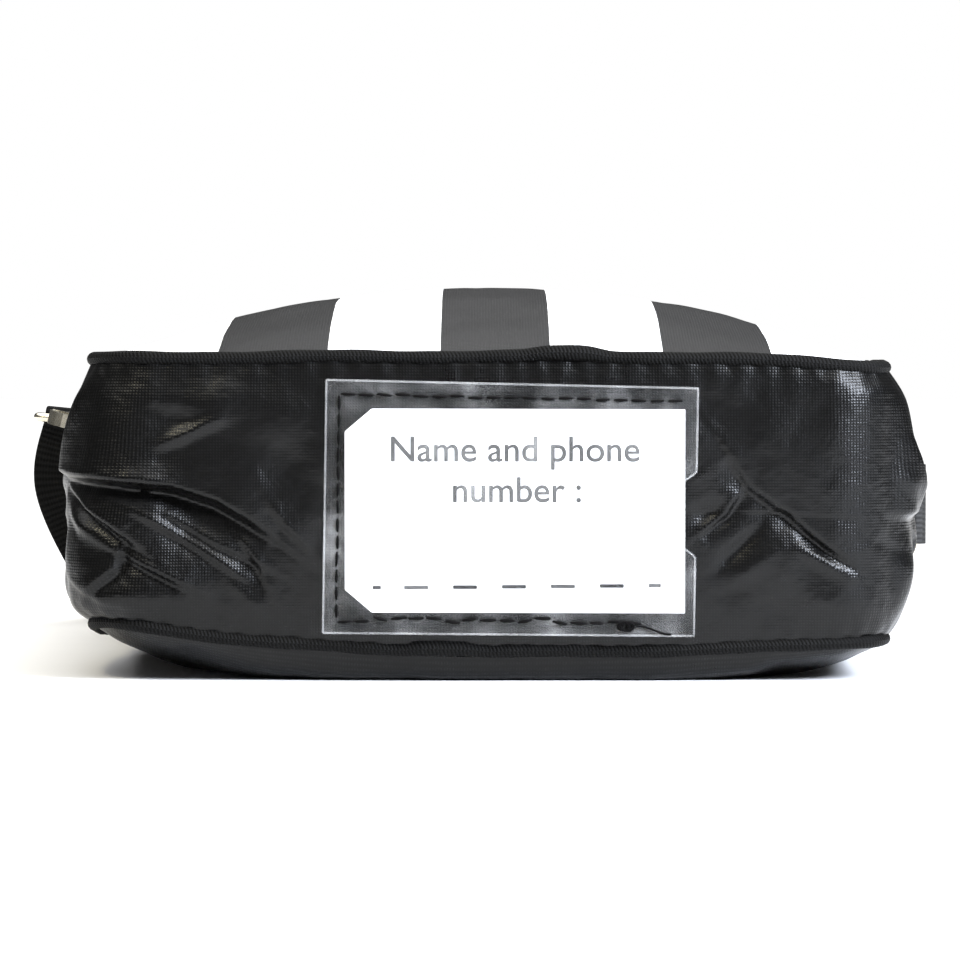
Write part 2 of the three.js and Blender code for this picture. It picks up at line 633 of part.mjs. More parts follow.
function strapStations() {
  const route = [...leg(eyes.left, SIDES.left), ...leg(eyes.right, SIDES.right).reverse()];
  const curve = new THREE.CatmullRomCurve3(route.map(([p]) => p), false, "centripetal");
  const steps = 64;
  const stations = [];
  for (let i = 0; i <= steps; i++) {
    const t = i / steps;
    const along = t * (route.length - 1);
    const k = Math.min(Math.floor(along), route.length - 2);
    const tangent = curve.getTangent(t);
    const width = route[k][1].clone().lerp(route[k + 1][1], along - k);
    width.addScaledVector(tangent, -width.dot(tangent)).normalize();
    stations.push({ p: curve.getPoint(t), width, normal: tangent.clone().cross(width).normalize() });
  }
  stations[0].width = route[0][1];
  stations.at(-1).width = route.at(-1)[1];
  return stations;
}

// Half a turn round an eye bar, from the webbing behind it to the webbing before it.
function overBar(eye, width) {
  const bar = eye.clone().add(point(0, EYE_BAR, 0));
  return [30, 60, 90, 120, 150].map((degrees) => {
    const out = point(0, Math.cos(rad(degrees)), Math.sin(rad(degrees)));
    return { p: bar.clone().addScaledVector(out, LOOP_R), width, normal: out };
  });
}

// The doubled webbing runs beside the main run, closing in from the bar's width to one thickness.
const DOUBLED_GAP = 3.2;
const CLOSING_STEPS = 7;
function doubled(stations, side) {
  return stations.map(({ p, width, normal }, i) => {
    const near = Math.min(1, i / CLOSING_STEPS);
    const away = THREE.MathUtils.lerp(2 * LOOP_R, DOUBLED_GAP, near * near * (3 - 2 * near));
    return { p: p.clone().addScaledVector(normal, side * away), width, normal };
  });
}

function strap() {
  const main = strapStations();
  const leftEnd = doubled(main.slice(0, 9), 1);
  const rightRun = doubled(main.slice(-34).reverse(), 1);
  const path = [
    ...leftEnd.reverse(),
    ...overBar(eyes.left, main[0].width).reverse(),
    ...main,
    ...overBar(eyes.right, main.at(-1).width),
    ...rightRun,
  ];
  const face = (turn) =>
    path.map(({ p, width }, i) => {
      const next = path[Math.min(i + 1, path.length - 1)].p;
      const along = next.clone().sub(path[Math.max(i - 1, 0)].p);
      const flat = along.cross(width).normalize();
      const middle = p.clone().addScaledVector(flat, (turn * WEBBING_T) / 2);
      return [-1, 1].map((edge) => middle.clone().addScaledVector(width, (edge * WEBBING_W) / 2));
    });
  return sheet(face(1), face(-1));
}
add("strap_webbing", strap(), MATERIAL.webbing);

// The adjuster: a frame round both runs of webbing, with a bar between them.
const ADJUSTER_X = 14;
const adjusterMiddle = STRAP_Y - DOUBLED_GAP / 2;
const adjuster = toSolid(box([-6, 6], [-4.6, 4.6], [-15.4, 15.4]))
  .subtract(toSolid(box([-9, 9], [-3, 3], [-13.3, 13.3])))
  .add(toSolid(box([-2, 2], [-0.6, 0.6], [-14, 14])));
const frameOnStrap = add("strap_adjuster", toGeometry(adjuster), MATERIAL.metal);
frameOnStrap.position.set(ADJUSTER_X, adjusterMiddle, RAISED_Z);

export default bag;
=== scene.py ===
"""Looks of the insulated lunch bag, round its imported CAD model, in millimetres until a mesh is made."""
import math

import bmesh
import bpy
import numpy as np
from mathutils import Matrix, Vector


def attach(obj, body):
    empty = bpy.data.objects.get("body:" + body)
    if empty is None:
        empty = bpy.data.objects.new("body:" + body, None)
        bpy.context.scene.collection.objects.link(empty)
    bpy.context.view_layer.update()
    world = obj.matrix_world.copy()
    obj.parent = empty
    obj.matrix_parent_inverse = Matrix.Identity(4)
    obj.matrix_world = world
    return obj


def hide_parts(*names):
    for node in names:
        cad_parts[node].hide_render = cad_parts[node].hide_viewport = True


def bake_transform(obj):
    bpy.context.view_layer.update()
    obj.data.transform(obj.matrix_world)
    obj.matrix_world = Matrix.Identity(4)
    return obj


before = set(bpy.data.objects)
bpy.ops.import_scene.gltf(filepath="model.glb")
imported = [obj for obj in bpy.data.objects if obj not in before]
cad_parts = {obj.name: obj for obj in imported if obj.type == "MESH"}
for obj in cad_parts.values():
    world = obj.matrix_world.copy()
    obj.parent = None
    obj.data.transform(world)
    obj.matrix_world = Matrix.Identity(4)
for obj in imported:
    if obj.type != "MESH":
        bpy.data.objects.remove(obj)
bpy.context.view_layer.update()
MM = 0.001

# ---- Sizes shared with the CAD model ----
HALF_W = 106.0
HALF_H = 107.5
BOTTOM_R = 18.0
TOP_R = 24.0
FRONT_SEAM_Z = 85.3
BACK_SEAM_Z = 8.0
FRONT_CROWN = 20.3
MIDDLE_Z = 46.75
PIPING_R = 1.75
FABRIC = 0.9
ZIP_Z = 47.0
FLAP_FIXED_X = 69.0
FLAP_FREE_X = 40.0


# ---- Mesh helpers ----
def linked(name, data):
    """A new object in the scene."""
    obj = bpy.data.objects.new(name, data)
    bpy.context.scene.collection.objects.link(obj)
    return obj


def select(objects):
    bpy.ops.object.select_all(action="DESELECT")
    for obj in objects:
        obj.select_set(True)
    bpy.context.view_layer.objects.active = objects[0]


def stacked(*parts):
    """Arrays of x, y and so on, spread to one shape and made into points."""
    return np.stack(np.broadcast_arrays(*parts), axis=-1)


def new_object(name, mesh, material, body):
    obj = linked(name, mesh)
    mesh.materials.append(material)
    mesh.polygons.foreach_set("use_smooth", [True] * len(mesh.polygons))
    if body:
        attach(obj, body)
    return obj


def grid_object(name, points, uv, material, body, closed=False, thickness=0.0, flip=False):
    """A surface through points[i][j]. uv gives each point's place along the cloth."""
    rows, columns = points.shape[:2]
    last = rows if closed else rows - 1
    i, j = np.meshgrid(np.arange(last), np.arange(columns - 1), indexing="ij")
    k = (i + 1) % rows
    corners = [(i, j), (k, j), (k, j + 1), (i, j + 1)]
    if flip:
        corners.reverse()
    faces = np.stack([(a * columns + b).ravel() for a, b in corners], axis=1)
    mesh = bpy.data.meshes.new(name)
    mesh.from_pydata((points.reshape(-1, 3) * MM).tolist(), [], faces.tolist())
    layer = mesh.uv_layers.new(name="UVMap")
    flat_uv = uv.reshape(-1, 2)[faces.ravel()].copy()
    if closed:
        wrapped = (faces // columns).reshape(-1, 4)
        seam = wrapped.max(axis=1) - wrapped.min(axis=1) > 1
        length = uv[-1, 0, 0] + (uv[1, 0, 0] - uv[0, 0, 0])
        fix = flat_uv.reshape(-1, 4, 2)
        low = (wrapped == 0) & seam[:, None]
        fix[..., 0][low] += length
        flat_uv = fix.reshape(-1, 2)
    layer.data.foreach_set("uv", flat_uv.astype(np.float32).ravel())
    mesh.update()
    obj = new_object(name, mesh, material, body)
    if thickness:
        thicken(obj, thickness)
    return obj


def thicken(obj, thickness):
    """Gives a surface its thickness inwards, with a crisp cut edge."""
    solid = obj.modifiers.new("thickness", "SOLIDIFY")
    solid.thickness = thickness * MM
    solid.offset = -1
    split = obj.modifiers.new("cut_edges", "EDGE_SPLIT")
    split.split_angle = math.radians(75)


def tube_rings(path, radius, sides, closed=False):
    """Rings of points round a path, with the place along it and round it."""
    path = np.asarray(path, float)
    if closed:
        tangent = np.roll(path, -1, axis=0) - np.roll(path, 1, axis=0)
    else:
        tangent = np.gradient(path, axis=0)
    tangent /= np.linalg.norm(tangent, axis=1)[:, None]
    up = np.array([0.0, 0.0, 1.0])
    if abs(tangent[:, 2]).max() > 0.9:
        up = np.array([1.0, 0.0, 0.0]) if abs(tangent[:, 0]).max() < 0.9 else np.array([0.0, 1.0, 0.0])
    side = np.cross(tangent, up)
    side /= np.linalg.norm(side, axis=1)[:, None]
    over = np.cross(side, tangent)
    angle = np.linspace(0, 2 * math.pi, sides + 1)
    radius = np.broadcast_to(np.asarray(radius, float), (len(path),))[:, None, None]
    ring = np.cos(angle)[None, :, None] * side[:, None] + np.sin(angle)[None, :, None] * over[:, None]
    step = np.linalg.norm(np.diff(path, axis=0), axis=1)
    along = np.concatenate([[0], np.cumsum(step)])
    return path[:, None] + radius * ring, stacked(along[:, None], angle[None, :])


def join(objects, name):
    """Several meshes made into one piece."""
    select(objects)
    bpy.ops.object.join()
    objects[0].name = name
    objects[0].data.name = name
    return objects[0]


def smoothstep(low, high, value):
    t = np.clip((value - low) / (high - low), 0, 1)
    return t * t * (3 - 2 * t)


def ripple(u, v, seed, length, amount):
    """A smooth uneven surface: waves of about the given length in seeded directions."""
    source = np.random.default_rng(seed)
    total = np.zeros(np.broadcast(u, v).shape)
    waves = 7
    for _ in range(waves):
        direction = source.uniform(0, math.pi)
        size = length * source.uniform(0.7, 1.7)
        phase = source.uniform(0, 2 * math.pi)
        total += np.sin(2 * math.pi * (u * math.cos(direction) + v * math.sin(direction)) / size + phase)
    return amount * total / math.sqrt(waves)


# ---- The bag's outline and seams ----
BOTTOM_RUN = HALF_W - BOTTOM_R
BOTTOM_ARC = BOTTOM_R * math.pi / 2
SIDE_RUN = 2 * HALF_H - BOTTOM_R - TOP_R
TOP_ARC = TOP_R * math.pi / 2
MOUTH_RUN = HALF_W - TOP_R
STARTS = np.cumsum([0, BOTTOM_RUN, BOTTOM_ARC, SIDE_RUN, TOP_ARC, MOUTH_RUN])


def outline(s, inset=0.0):
    """Place and outward direction at distance s along the seam line from the middle of the bottom."""
    d = np.abs(s)
    low = np.clip((d - STARTS[1]) / BOTTOM_R, 0, math.pi / 2)
    high = np.clip((d - STARTS[3]) / TOP_R, 0, math.pi / 2)
    turn = low + high
    n = np.stack([np.sin(turn), -np.cos(turn)], axis=-1)
    x = np.clip(d, 0, BOTTOM_RUN) + BOTTOM_R * np.sin(low) - TOP_R * (1 - np.cos(high))
    x = x - np.clip(d - STARTS[4], 0, MOUTH_RUN)
    y = -HALF_H + BOTTOM_R * (1 - np.cos(low)) + np.clip(d - STARTS[2], 0, SIDE_RUN) + TOP_R * np.sin(high)
    n[..., 0] *= np.where(s < 0, -1, 1)
    p = np.stack([x * np.where(s < 0, -1, 1), y], axis=-1)
    return p - n * inset, n


def front_seam(x, y):
    right = np.clip(x / HALF_W, 0, 1.1)
    left = np.clip(-x / HALF_W, 0, 1.1)
    return FRONT_SEAM_Z - (3.2 * right**3 + 0.5 * left**2) * (0.5 + 0.5 * (y / HALF_H) ** 2)


def back_seam(x, y):
    right = np.clip(x / HALF_W, 0, 1.1)
    left = np.clip(-x / HALF_W, 0, 1.1)
    return BACK_SEAM_Z + (8.9 * left**2 + 3.3 * right**2.5) * (y / HALF_H) ** 2


def edge_distance(x, y):
    """How far inside the seam line a point is."""
    qx = np.abs(x) - HALF_W
    qy = np.abs(y) - HALF_H
    radius = np.where(y < 0, BOTTOM_R, TOP_R)
    corner = np.hypot(np.maximum(qx + radius, 0), np.maximum(qy + radius, 0)) - radius
    inside = np.minimum(np.maximum(qx, qy) + radius, 0)
    return -(corner + inside)


# ---- Folds in the cloth ----
def fold(u, v, line, above, below, reach_up, reach_down, edge=1.2):
    """Cloth that stands out by above on one side of a line and sinks by below on the other."""
    line = np.asarray(line, float)
    lengths = np.linalg.norm(np.diff(line, axis=0), axis=1)
    starts = np.concatenate([[0], np.cumsum(lengths)])
    nearest = np.full(np.broadcast(u, v).shape, 1e9)
    signed = np.zeros_like(nearest)
    share = np.zeros_like(nearest)
    for k in range(len(line) - 1):
        a = line[k]
        d = (line[k + 1] - a) / lengths[k]
        along = (u - a[0]) * d[0] + (v - a[1]) * d[1]
        t = np.clip(along, 0, lengths[k])
        du = u - a[0] - t * d[0]
        dv = v - a[1] - t * d[1]
        distance = np.hypot(du, dv)
        closer = distance < nearest
        side = np.sign(d[0] * (v - a[1]) - d[1] * (u - a[0]))
        nearest = np.where(closer, distance, nearest)
        signed = np.where(closer, distance * side, signed)
        share = np.where(closer, (starts[k] + t) / starts[-1], share)
    strength = np.sin(math.pi * np.clip(share, 0.02, 0.98)) ** 0.55
    upper = above * np.exp(-np.maximum(signed, 0) / reach_up)
    lower = -below * np.exp(np.minimum(signed, 0) / reach_down)
    blend = smoothstep(-edge, edge, signed)
    ends = np.exp(-np.maximum(nearest - np.abs(signed), 0) / 6)
    return strength * ends * (lower * (1 - blend) + upper * blend)


def ridge(u, v, start, end, height, width):
    """A soft straight ridge, or a valley where height is negative."""
    a = np.array(start, float)
    d = np.array(end, float) - a
    length = np.linalg.norm(d)
    d /= length
    t = np.clip((u - a[0]) * d[0] + (v - a[1]) * d[1], 0, length)
    distance = np.hypot(u - a[0] - t * d[0], v - a[1] - t * d[1])
    taper = 0.35 + 0.65 * np.sin(math.pi * t / length)
    return height * taper * np.exp(-((distance / width) ** 2))


# On the bottom of the bag: distance along from its middle, and height.
def bottom_folds(s, z):
    """Creases as (line, above, below, reach up, reach down), and ridges as (start, end, height, width)."""
    creases = [
        ([(-120, 54.5), (-99, 52.5), (-83, 50.5), (-72, 47), (-64, 42.5), (-56, 37)], 3.0, 5.4, 12, 10),
        ([(-117, 51), (-108, 47), (-99, 41), (-90, 34)], 1.8, 3.0, 4, 5),
        ([(-94, 45), (-78, 35.5), (-62, 25)], 1.1, 1.0, 3, 3),
        ([(-87, 45), (-72, 36), (-55, 28)], 0.9, 0.9, 3, 3),
        ([(-97, 34), (-88, 29), (-78, 24)], 2.2, 1.8, 3, 4),
        ([(-104, 22), (-97, 29), (-95, 37)], 1.2, 2.4, 4, 3),
        ([(-66, 38), (-61, 31), (-58, 23)], 1.4, 1.2, 3, 3),
        ([(-58, 47), (-54, 41), (-47, 34)], 1.2, 1.0, 3, 3),
        ([(-112, 27), (-100, 20), (-84, 17)], 1.2, 1.0, 6, 5),
        ([(62, 60), (68, 51), (75, 45.5), (81, 44.5)], 1.8, 2.8, 6, 6),
        ([(76, 45.5), (84.5, 38.5), (96, 29.5)], 3.0, 3.8, 7, 4.5),
        ([(78, 44.5), (98, 43.8), (120, 43)], 1.6, 2.0, 12, 8),
        ([(54, 38), (62, 44), (66, 50)], 1.6, 2.4, 4, 5),
    ]
    ridges = [
        ((-114, 46), (-98, 36), 1.6, 2.0), ((-87, 62), (-71, 69), 1.4, 1.8),
        ((-92, 72), (-72, 66), -0.7, 3.0), ((-108, 80), (-114, 56), 1.6, 2.2),
        ((-72, 33), (-60, 18), 0.8, 2.4), ((81, 35), (94, 27.5), 1.9, 1.6),
        ((79, 46), (90, 61), 1.3, 1.9), ((63, 62), (70, 50), 1.2, 1.9),
        ((52, 42), (62, 46), -2.6, 3.0), ((60, 30), (71, 41), -1.5, 2.0),
        ((64, 27), (76, 35), 1.2, 2.2), ((112, 62), (116, 45), 1.8, 1.8),
        ((96, 38), (110, 33), -1.1, 2.4), ((98, 56), (114, 51), 0.9, 2.4), ((86, 22), (108, 17), 0.9, 2.8),
    ]
    out = ripple(s, z, 12, 24, 0.42)
    for line, above, below, up, down in creases:
        edge = 0.8 + 0.1 * (above + below)
        out = out + fold(s, z, line, above, below, up, down, edge)
    for start, end, height, width in ridges:
        out = out + ridge(s, z, start, end, height, width)
    return out


def side_folds(s, z):
    """Creases of the two side walls and the mouth's corners."""
    out = np.zeros(np.broadcast(s, z).shape)
    source = np.random.default_rng(11)
    for sign in (-1, 1):
        for k in range(9):
            start = sign * (140 + 22 * k + source.uniform(-6, 6))
            height = source.uniform(24, 66)
            run = sign * source.uniform(14, 34)
            rise = source.uniform(-16, 16)
            line = [(start, height), (start + run * 0.5, height + rise * 0.3), (start + run, height + rise)]
            if sign < 0:
                line.reverse()
            strength = source.uniform(0.5, 1.5)
            out += fold(s, z, line, strength, strength * 1.1, 9, 7, 1.0)
        long_line = [(sign * 150, 50), (sign * 200, 46), (sign * 260, 48)][::sign]
        out += fold(s, z, long_line, 0.8, 0.9, 14, 12, 2.2)
    return out


def gusset_bulge(s, z, low, high):
    w = 2 * (z - low) / (high - low) - 1
    d = np.abs(s)
    bottom = 3.4 + 4.2 * smoothstep(BOTTOM_RUN - 10, STARTS[2] + 4, d)
    side = bottom + 4.6 * smoothstep(STARTS[2], STARTS[2] + 50, d)
    reach = side - 6.2 * smoothstep(STARTS[3], STARTS[4], d)
    corner = smoothstep(BOTTOM_RUN - 20, STARTS[2], d) * (1 - smoothstep(STARTS[2], STARTS[2] + 60, d))
    low_power = 2.3 + np.where(s < 0, 9.0, 2.2) * corner
    high_power = 2.3 + np.where(s < 0, 0.0, 1.6) * corner
    power = np.where(w < 0, low_power, high_power)
    return reach * (1 - np.abs(w) ** power)


CARD_CLEARANCE = 3.3    # the cloth stands out no further where the card slides over it


def gusset_points(s, share, depth=0.0):
    """Points of the gusset at distances s and shares of the height, or of a layer at a depth below it."""
    p, n = outline(s)
    low = back_seam(p[..., 0], p[..., 1]) + 0.6
    high = front_seam(p[..., 0], p[..., 1]) - 0.6
    z = low + (high - low) * share
    out = gusset_bulge(s, z, low, high)
    rim = np.minimum(share, 1 - share)
    near_seam = smoothstep(0, 0.16, rim)
    pucker = 0.22 * np.sin(2 * math.pi * s / 6.3 + 2 * np.sin(s / 17)) * np.exp(-rim / 0.06)
    wrinkles = bottom_folds(s, z) + side_folds(s, z) + ripple(s, z, 3, 30, 0.35) + ripple(s, z, 4, 11, 0.07)
    flat_window = smoothstep(40, 52, np.abs(s - 5.7))
    if depth:
        near = [(s + 1.6, z), (s - 1.6, z), (s, z + 1.6), (s, z - 1.6)]
        lowest = np.minimum.reduce([bottom_folds(*place) + side_folds(*place) for place in near])
        wrinkles = np.minimum(lowest * 1.05, 0.3) - 0.4
    out = out + near_seam * wrinkles * flat_window + pucker
    beside = smoothstep(44, 50, s) * (1 - smoothstep(104, 112, s))
    level = smoothstep(12, 16, z) * (1 - smoothstep(74, 78, z))
    out = out - beside * level * np.logaddexp(0, 1.6 * (out - CARD_CLEARANCE)) / 1.6 - depth
    x = p[..., 0] + n[..., 0] * out
    y = p[..., 1] + n[..., 1] * out
    return np.stack([x, y, z], axis=-1)


# ---- Procedural materials ----
class Graph:
    """A material's node tree, with short ways to add nodes and join them."""

    def __init__(self, name):
        self.material = bpy.data.materials.new(name)
        self.material.use_nodes = True
        self.tree = self.material.node_tree
        self.shader = self.tree.nodes["Principled BSDF"]

    def add(self, kind, inputs=None, **settings):
        node = self.tree.nodes.new(kind)
        for key, value in settings.items():
            setattr(node, key, value)
        for key, value in (inputs or {}).items():
            self.put(node.inputs[key], value)
        return node

    def put(self, socket, value):
        if isinstance(value, bpy.types.NodeSocket):
            self.tree.links.new(value, socket)
        else:
            socket.default_value = value

    def math(self, operation, *values):
        node = self.add("ShaderNodeMath", operation=operation)
        for k, value in enumerate(values):
            self.put(node.inputs[k], value)
        return node.outputs[0]

    def ramp(self, value, stops):
        """Two colours, each at a place along value."""
        node = self.add("ShaderNodeValToRGB", {"Fac": value})
        for element, (place, color) in zip(node.color_ramp.elements, stops):
            element.position = place
            element.color = (*color, 1)
        return node.outputs["Color"]

    def tones(self, value, low, high, start=0.0, end=1.0):
        """Two greys, from start to end along value."""
        return self.ramp(value, [(start, (low,) * 3), (end, (high,) * 3)])

    def noise(self, scale, detail):
        inputs = {"Scale": scale, "Detail": detail, "Vector": self.object_place()}
        return self.add("ShaderNodeTexNoise", inputs).outputs["Fac"]

    def object_place(self):
        return self.add("ShaderNodeTexCoord").outputs["Object"]

    def uv(self):
        """Place along the cloth, in millimetres."""
        parts = self.add("ShaderNodeSeparateXYZ", {"Vector": self.add("ShaderNodeUVMap").outputs["UV"]})
        return parts.outputs["X"], parts.outputs["Y"]

    def wave(self, value, period):
        """A sine of value, from 0 to 1."""
        sine = self.math("SINE", self.math("MULTIPLY", value, 2 * math.pi / period))
        return self.math("MULTIPLY_ADD", sine, 0.5, 0.5)

    def bump(self, height, distance, strength=1.0, under=None):
        inputs = {"Height": height, "Distance": distance, "Strength": strength}
        if under is not None:
            inputs["Normal"] = under
        return self.add("ShaderNodeBump", inputs).outputs["Normal"]

    def finish(self, **inputs):
        for key, value in inputs.items():
            self.put(self.shader.inputs[key.replace("_", " ")], value)
        return self.material


WEAVE = 0.76


def weave_height(g):
    """Threads that pass over and under each other."""
    u, v = g.uv()
    return g.math("MULTIPLY", g.wave(u, WEAVE), g.wave(v, WEAVE))


def nylon():
    """Black woven nylon: painted highlights on the thread crowns and painted shade between them, stronger in
    random patches, a soft uneven sheen and scuffs.
    """
    g = Graph("nylon")
    height = weave_height(g)
    patches = g.noise(60.0, 4.0)
    patchy_sheen = g.tones(patches, 0.25, 1, 0.35, 0.7)
    # The colour is a painted highlight on the thread crowns and painted shade between the threads; the
    # patches make the highlights weaker in places.
    crown_highlights = g.math("MULTIPLY", g.math("POWER", height, 2.0), patchy_sheen)
    color = g.ramp(crown_highlights, [(0.0, (0.001,) * 3), (1.0, (0.012, 0.012, 0.01224))])
    rough = g.math("MULTIPLY_ADD", patches, -0.12, 0.36)
    fine = g.bump(height, 0.00014, 0.4)
    slack = g.bump(g.noise(120.0, 3.0), 0.0016, 0.5, fine)
    return g.finish(Base_Color=color, Roughness=rough, Normal=slack, Specular_IOR_Level=0.2)


def striped():
    """Satin cloth in wide black and white stripes across the front."""
    g = Graph("striped_cloth")
    x = g.add("ShaderNodeSeparateXYZ", {"Vector": g.object_place()}).outputs["X"]
    period, band, centre = 0.0584, 0.0288, 0.0014
    shifted = g.math("DIVIDE", g.math("ADD", x, 10 * period - centre + period / 2), period)
    place = g.math("ABSOLUTE", g.math("SUBTRACT", g.math("FRACT", shifted), 0.5))
    stripe = g.math("LESS_THAN", place, band / 2 / period)
    height = weave_height(g)
    # Each stripe's tone follows the weave's height: painted highlights on the thread crowns and painted
    # shade between them.
    black = g.ramp(height, [(0.0, (0.007,) * 3), (1.0, (0.022, 0.022, 0.023))])
    white = g.ramp(height, [(0.0, (0.80, 0.80, 0.79)), (1.0, (0.93, 0.93, 0.92))])
    color = g.add("ShaderNodeMix", {"Factor": stripe, "A": white, "B": black}, data_type="RGBA")
    mixed = color.outputs["Result"]
    slack = g.bump(g.noise(90.0, 3.0), 0.0008, 0.3, g.bump(height, 0.00012, 0.6))
    rough = g.math("MULTIPLY_ADD", g.noise(45.0, 3.0), 0.15, 0.36)
    return g.finish(Base_Color=mixed, Roughness=rough, Normal=slack, Specular_IOR_Level=0.22)


def ribbed(name, period, light=0.0054, dark=0.0006, slant=0.0, rough=0.6):
    """Black webbing or binding: ribs along one way with finer threads across."""
    g = Graph(name)
    u, v = g.uv()
    ribs = g.wave(g.math("MULTIPLY_ADD", v, slant, u), period)
    threads = g.wave(v, period * 0.62)
    height = g.math("MULTIPLY_ADD", threads, 0.35, ribs)
    # The colour follows the relief: painted highlights on the rib crowns and painted shade in the grooves.
    color = g.tones(height, dark, light, 0.2)
    patchy_sheen = g.math("MULTIPLY_ADD", g.noise(150.0, 3.0), 0.2, rough - 0.1)
    relief = g.bump(height, 0.0002, 0.8)
    return g.finish(Base_Color=color, Roughness=patchy_sheen, Normal=relief, Specular_IOR_Level=0.08)


def webbing_block():
    """The same webbing on a solid block, with its ribs along Y."""
    g = Graph("tab_webbing")
    parts = g.add("ShaderNodeSeparateXYZ", {"Vector": g.object_place()})
    ribs = g.wave(parts.outputs["Z"], 0.0016)
    threads = g.wave(parts.outputs["Y"], 0.001)
    height = g.math("MULTIPLY_ADD", threads, 0.35, ribs)
    # The colour follows the relief: painted highlights on the rib crowns and painted shade in the grooves.
    color = g.tones(height, 0.002, 0.014, 0.2)
    patchy_sheen = g.math("MULTIPLY_ADD", g.noise(150.0, 3.0), 0.2, 0.6)
    return g.finish(Base_Color=color, Roughness=patchy_sheen, Normal=g.bump(height, 0.0002, 0.8))


def foam():
    g = Graph("foam")
    cells = g.add("ShaderNodeTexVoronoi", {"Vector": g.object_place(), "Scale": 900.0}).outputs["Distance"]
    # The colour follows the cells: painted shade in each cell's hollow, lighter on its walls.
    color = g.ramp(cells, [(0.0, (0.62, 0.62, 0.6)), (0.6, (0.85, 0.85, 0.82))])
    return g.finish(Base_Color=color, Roughness=0.9, Normal=g.bump(cells, 0.0004, 0.5))


def foil():
    """Silver-grey lining film with a fine embossed diamond grid and soft creases."""
    g = Graph("lining")
    u, v = g.uv()
    grid = g.math("MULTIPLY", g.wave(g.math("ADD", u, v), 4.0), g.wave(g.math("SUBTRACT", u, v), 4.0))
    creases = g.noise(55.0, 5.0)
    # The colour follows the crease relief: painted shade in the hollows, lighter on the ridges.
    color = g.ramp(creases, [(0.3, (0.48, 0.49, 0.5)), (0.7, (0.68, 0.69, 0.7))])
    normal = g.bump(creases, 0.002, 0.6, g.bump(grid, 0.0003, 0.4))
    rough = g.math("MULTIPLY_ADD", creases, 0.2, 0.2)
    return g.finish(Base_Color=color, Roughness=rough, Metallic=0.55, Normal=normal)


def plated():
    """Pale gold plating with fine scratches and dull spots."""
    g = Graph("plated_metal")
    tint = (0.80, 0.75, 0.62)
    spots = g.noise(160.0, 3.0)
    color = g.ramp(spots, [(0.3, tuple(0.88 * t for t in tint)), (0.65, tint)])
    rough = g.math("MULTIPLY_ADD", spots, 0.14, 0.16)
    scratches = g.bump(g.noise(1100.0, 2.0), 0.00002, 0.15)
    return g.finish(Base_Color=color, Metallic=1.0, Roughness=rough, Normal=scratches)


def vinyl(name="clear_vinyl", clouding=0.008):
    """Clear flexible vinyl, hazy and glossy, with small ripples."""
    g = Graph(name)
    haze = g.noise(70.0, 4.0)
    color = g.ramp(haze, [(0.3, (0.45, 0.46, 0.47)), (0.7, (0.7, 0.71, 0.72))])
    ripples = g.bump(g.noise(70.0, 2.0), 0.001, 0.2)
    veil = g.math("MULTIPLY_ADD", g.math("POWER", haze, 5.0), 0.9, clouding)
    rough = g.math("MULTIPLY_ADD", haze, 0.1, 0.06)
    return g.finish(Base_Color=color, Roughness=rough, Normal=ripples, Alpha=veil, Specular_IOR_Level=0.8)


def card_stock():
    g = Graph("card")
    fibres = g.noise(900.0, 4.0)
    color = g.ramp(fibres, [(0.3, (0.86, 0.86, 0.87)), (0.7, (0.95, 0.95, 0.96))])
    return g.finish(Base_Color=color, Roughness=0.55, Normal=g.bump(fibres, 0.00008, 0.3))


def ink(name, value):
    g = Graph(name)
    grain = g.noise(1500.0, 2.0)
    color = g.tones(grain, value * 0.8, value * 1.15, 0.2, 0.8)
    return g.finish(Base_Color=color, Roughness=0.6, Specular_IOR_Level=0.1)


def thread():
    g = Graph("thread")
    u, v = g.uv()
    twist = g.wave(g.math("MULTIPLY_ADD", v, 0.12, u), 0.5)
    # Painted highlights on the twist's ridges and painted shade between them.
    color = g.tones(twist, 0.0008, 0.005)
    relief = g.bump(twist, 0.0001, 0.6)
    return g.finish(Base_Color=color, Roughness=0.6, Normal=relief, Specular_IOR_Level=0.05)


NYLON = nylon()
STRIPED = striped()
PIPING = ribbed("piping", 1.0, slant=0.35)
WEBBING = ribbed("webbing", 1.6, rough=0.7)
TAPE = ribbed("zip_tape", 0.8)
COIL = ribbed("zip_teeth", 0.7, light=0.03, rough=0.4)
FOAM = foam()
FOIL = foil()
METAL = plated()
VINYL = vinyl()
VINYL_EDGE = vinyl("vinyl_cut_edge", 0.16)
CARD = card_stock()
THREAD = thread()
TAB = webbing_block()
GREY_INK = ink("grey_ink", 0.07)
BLACK_INK = ink("black_ink", 0.012)


# ---- Shell ----
SLOT_START_Y = 100.0
SLOT_END_X = 81.4
SLOT_HALF_H = 5.0


def gusset_piece(name, material, depth, thickness, reach, step, rows):
    s = np.arange(-reach, reach + step / 2, step)
    share = np.linspace(0, 1, rows)
    points = gusset_points(s[:, None], share[None, :], depth)
    uv = stacked(s[:, None], points[..., 2])
    return grid_object(name, points, uv, material, "bag", thickness=thickness)


def panel_points(surface, inset, rings, around):
    s = np.linspace(-STARTS[5], STARTS[5], around, endpoint=False)
    rim, _ = outline(s, inset)
    share = np.sin(np.linspace(0, math.pi / 2, rings)) ** 0.9
    x = rim[:, None, 0] * share[None, :]
    y = rim[:, None, 1] * share[None, :]
    return np.stack([x, y, surface(x, y)], axis=-1)


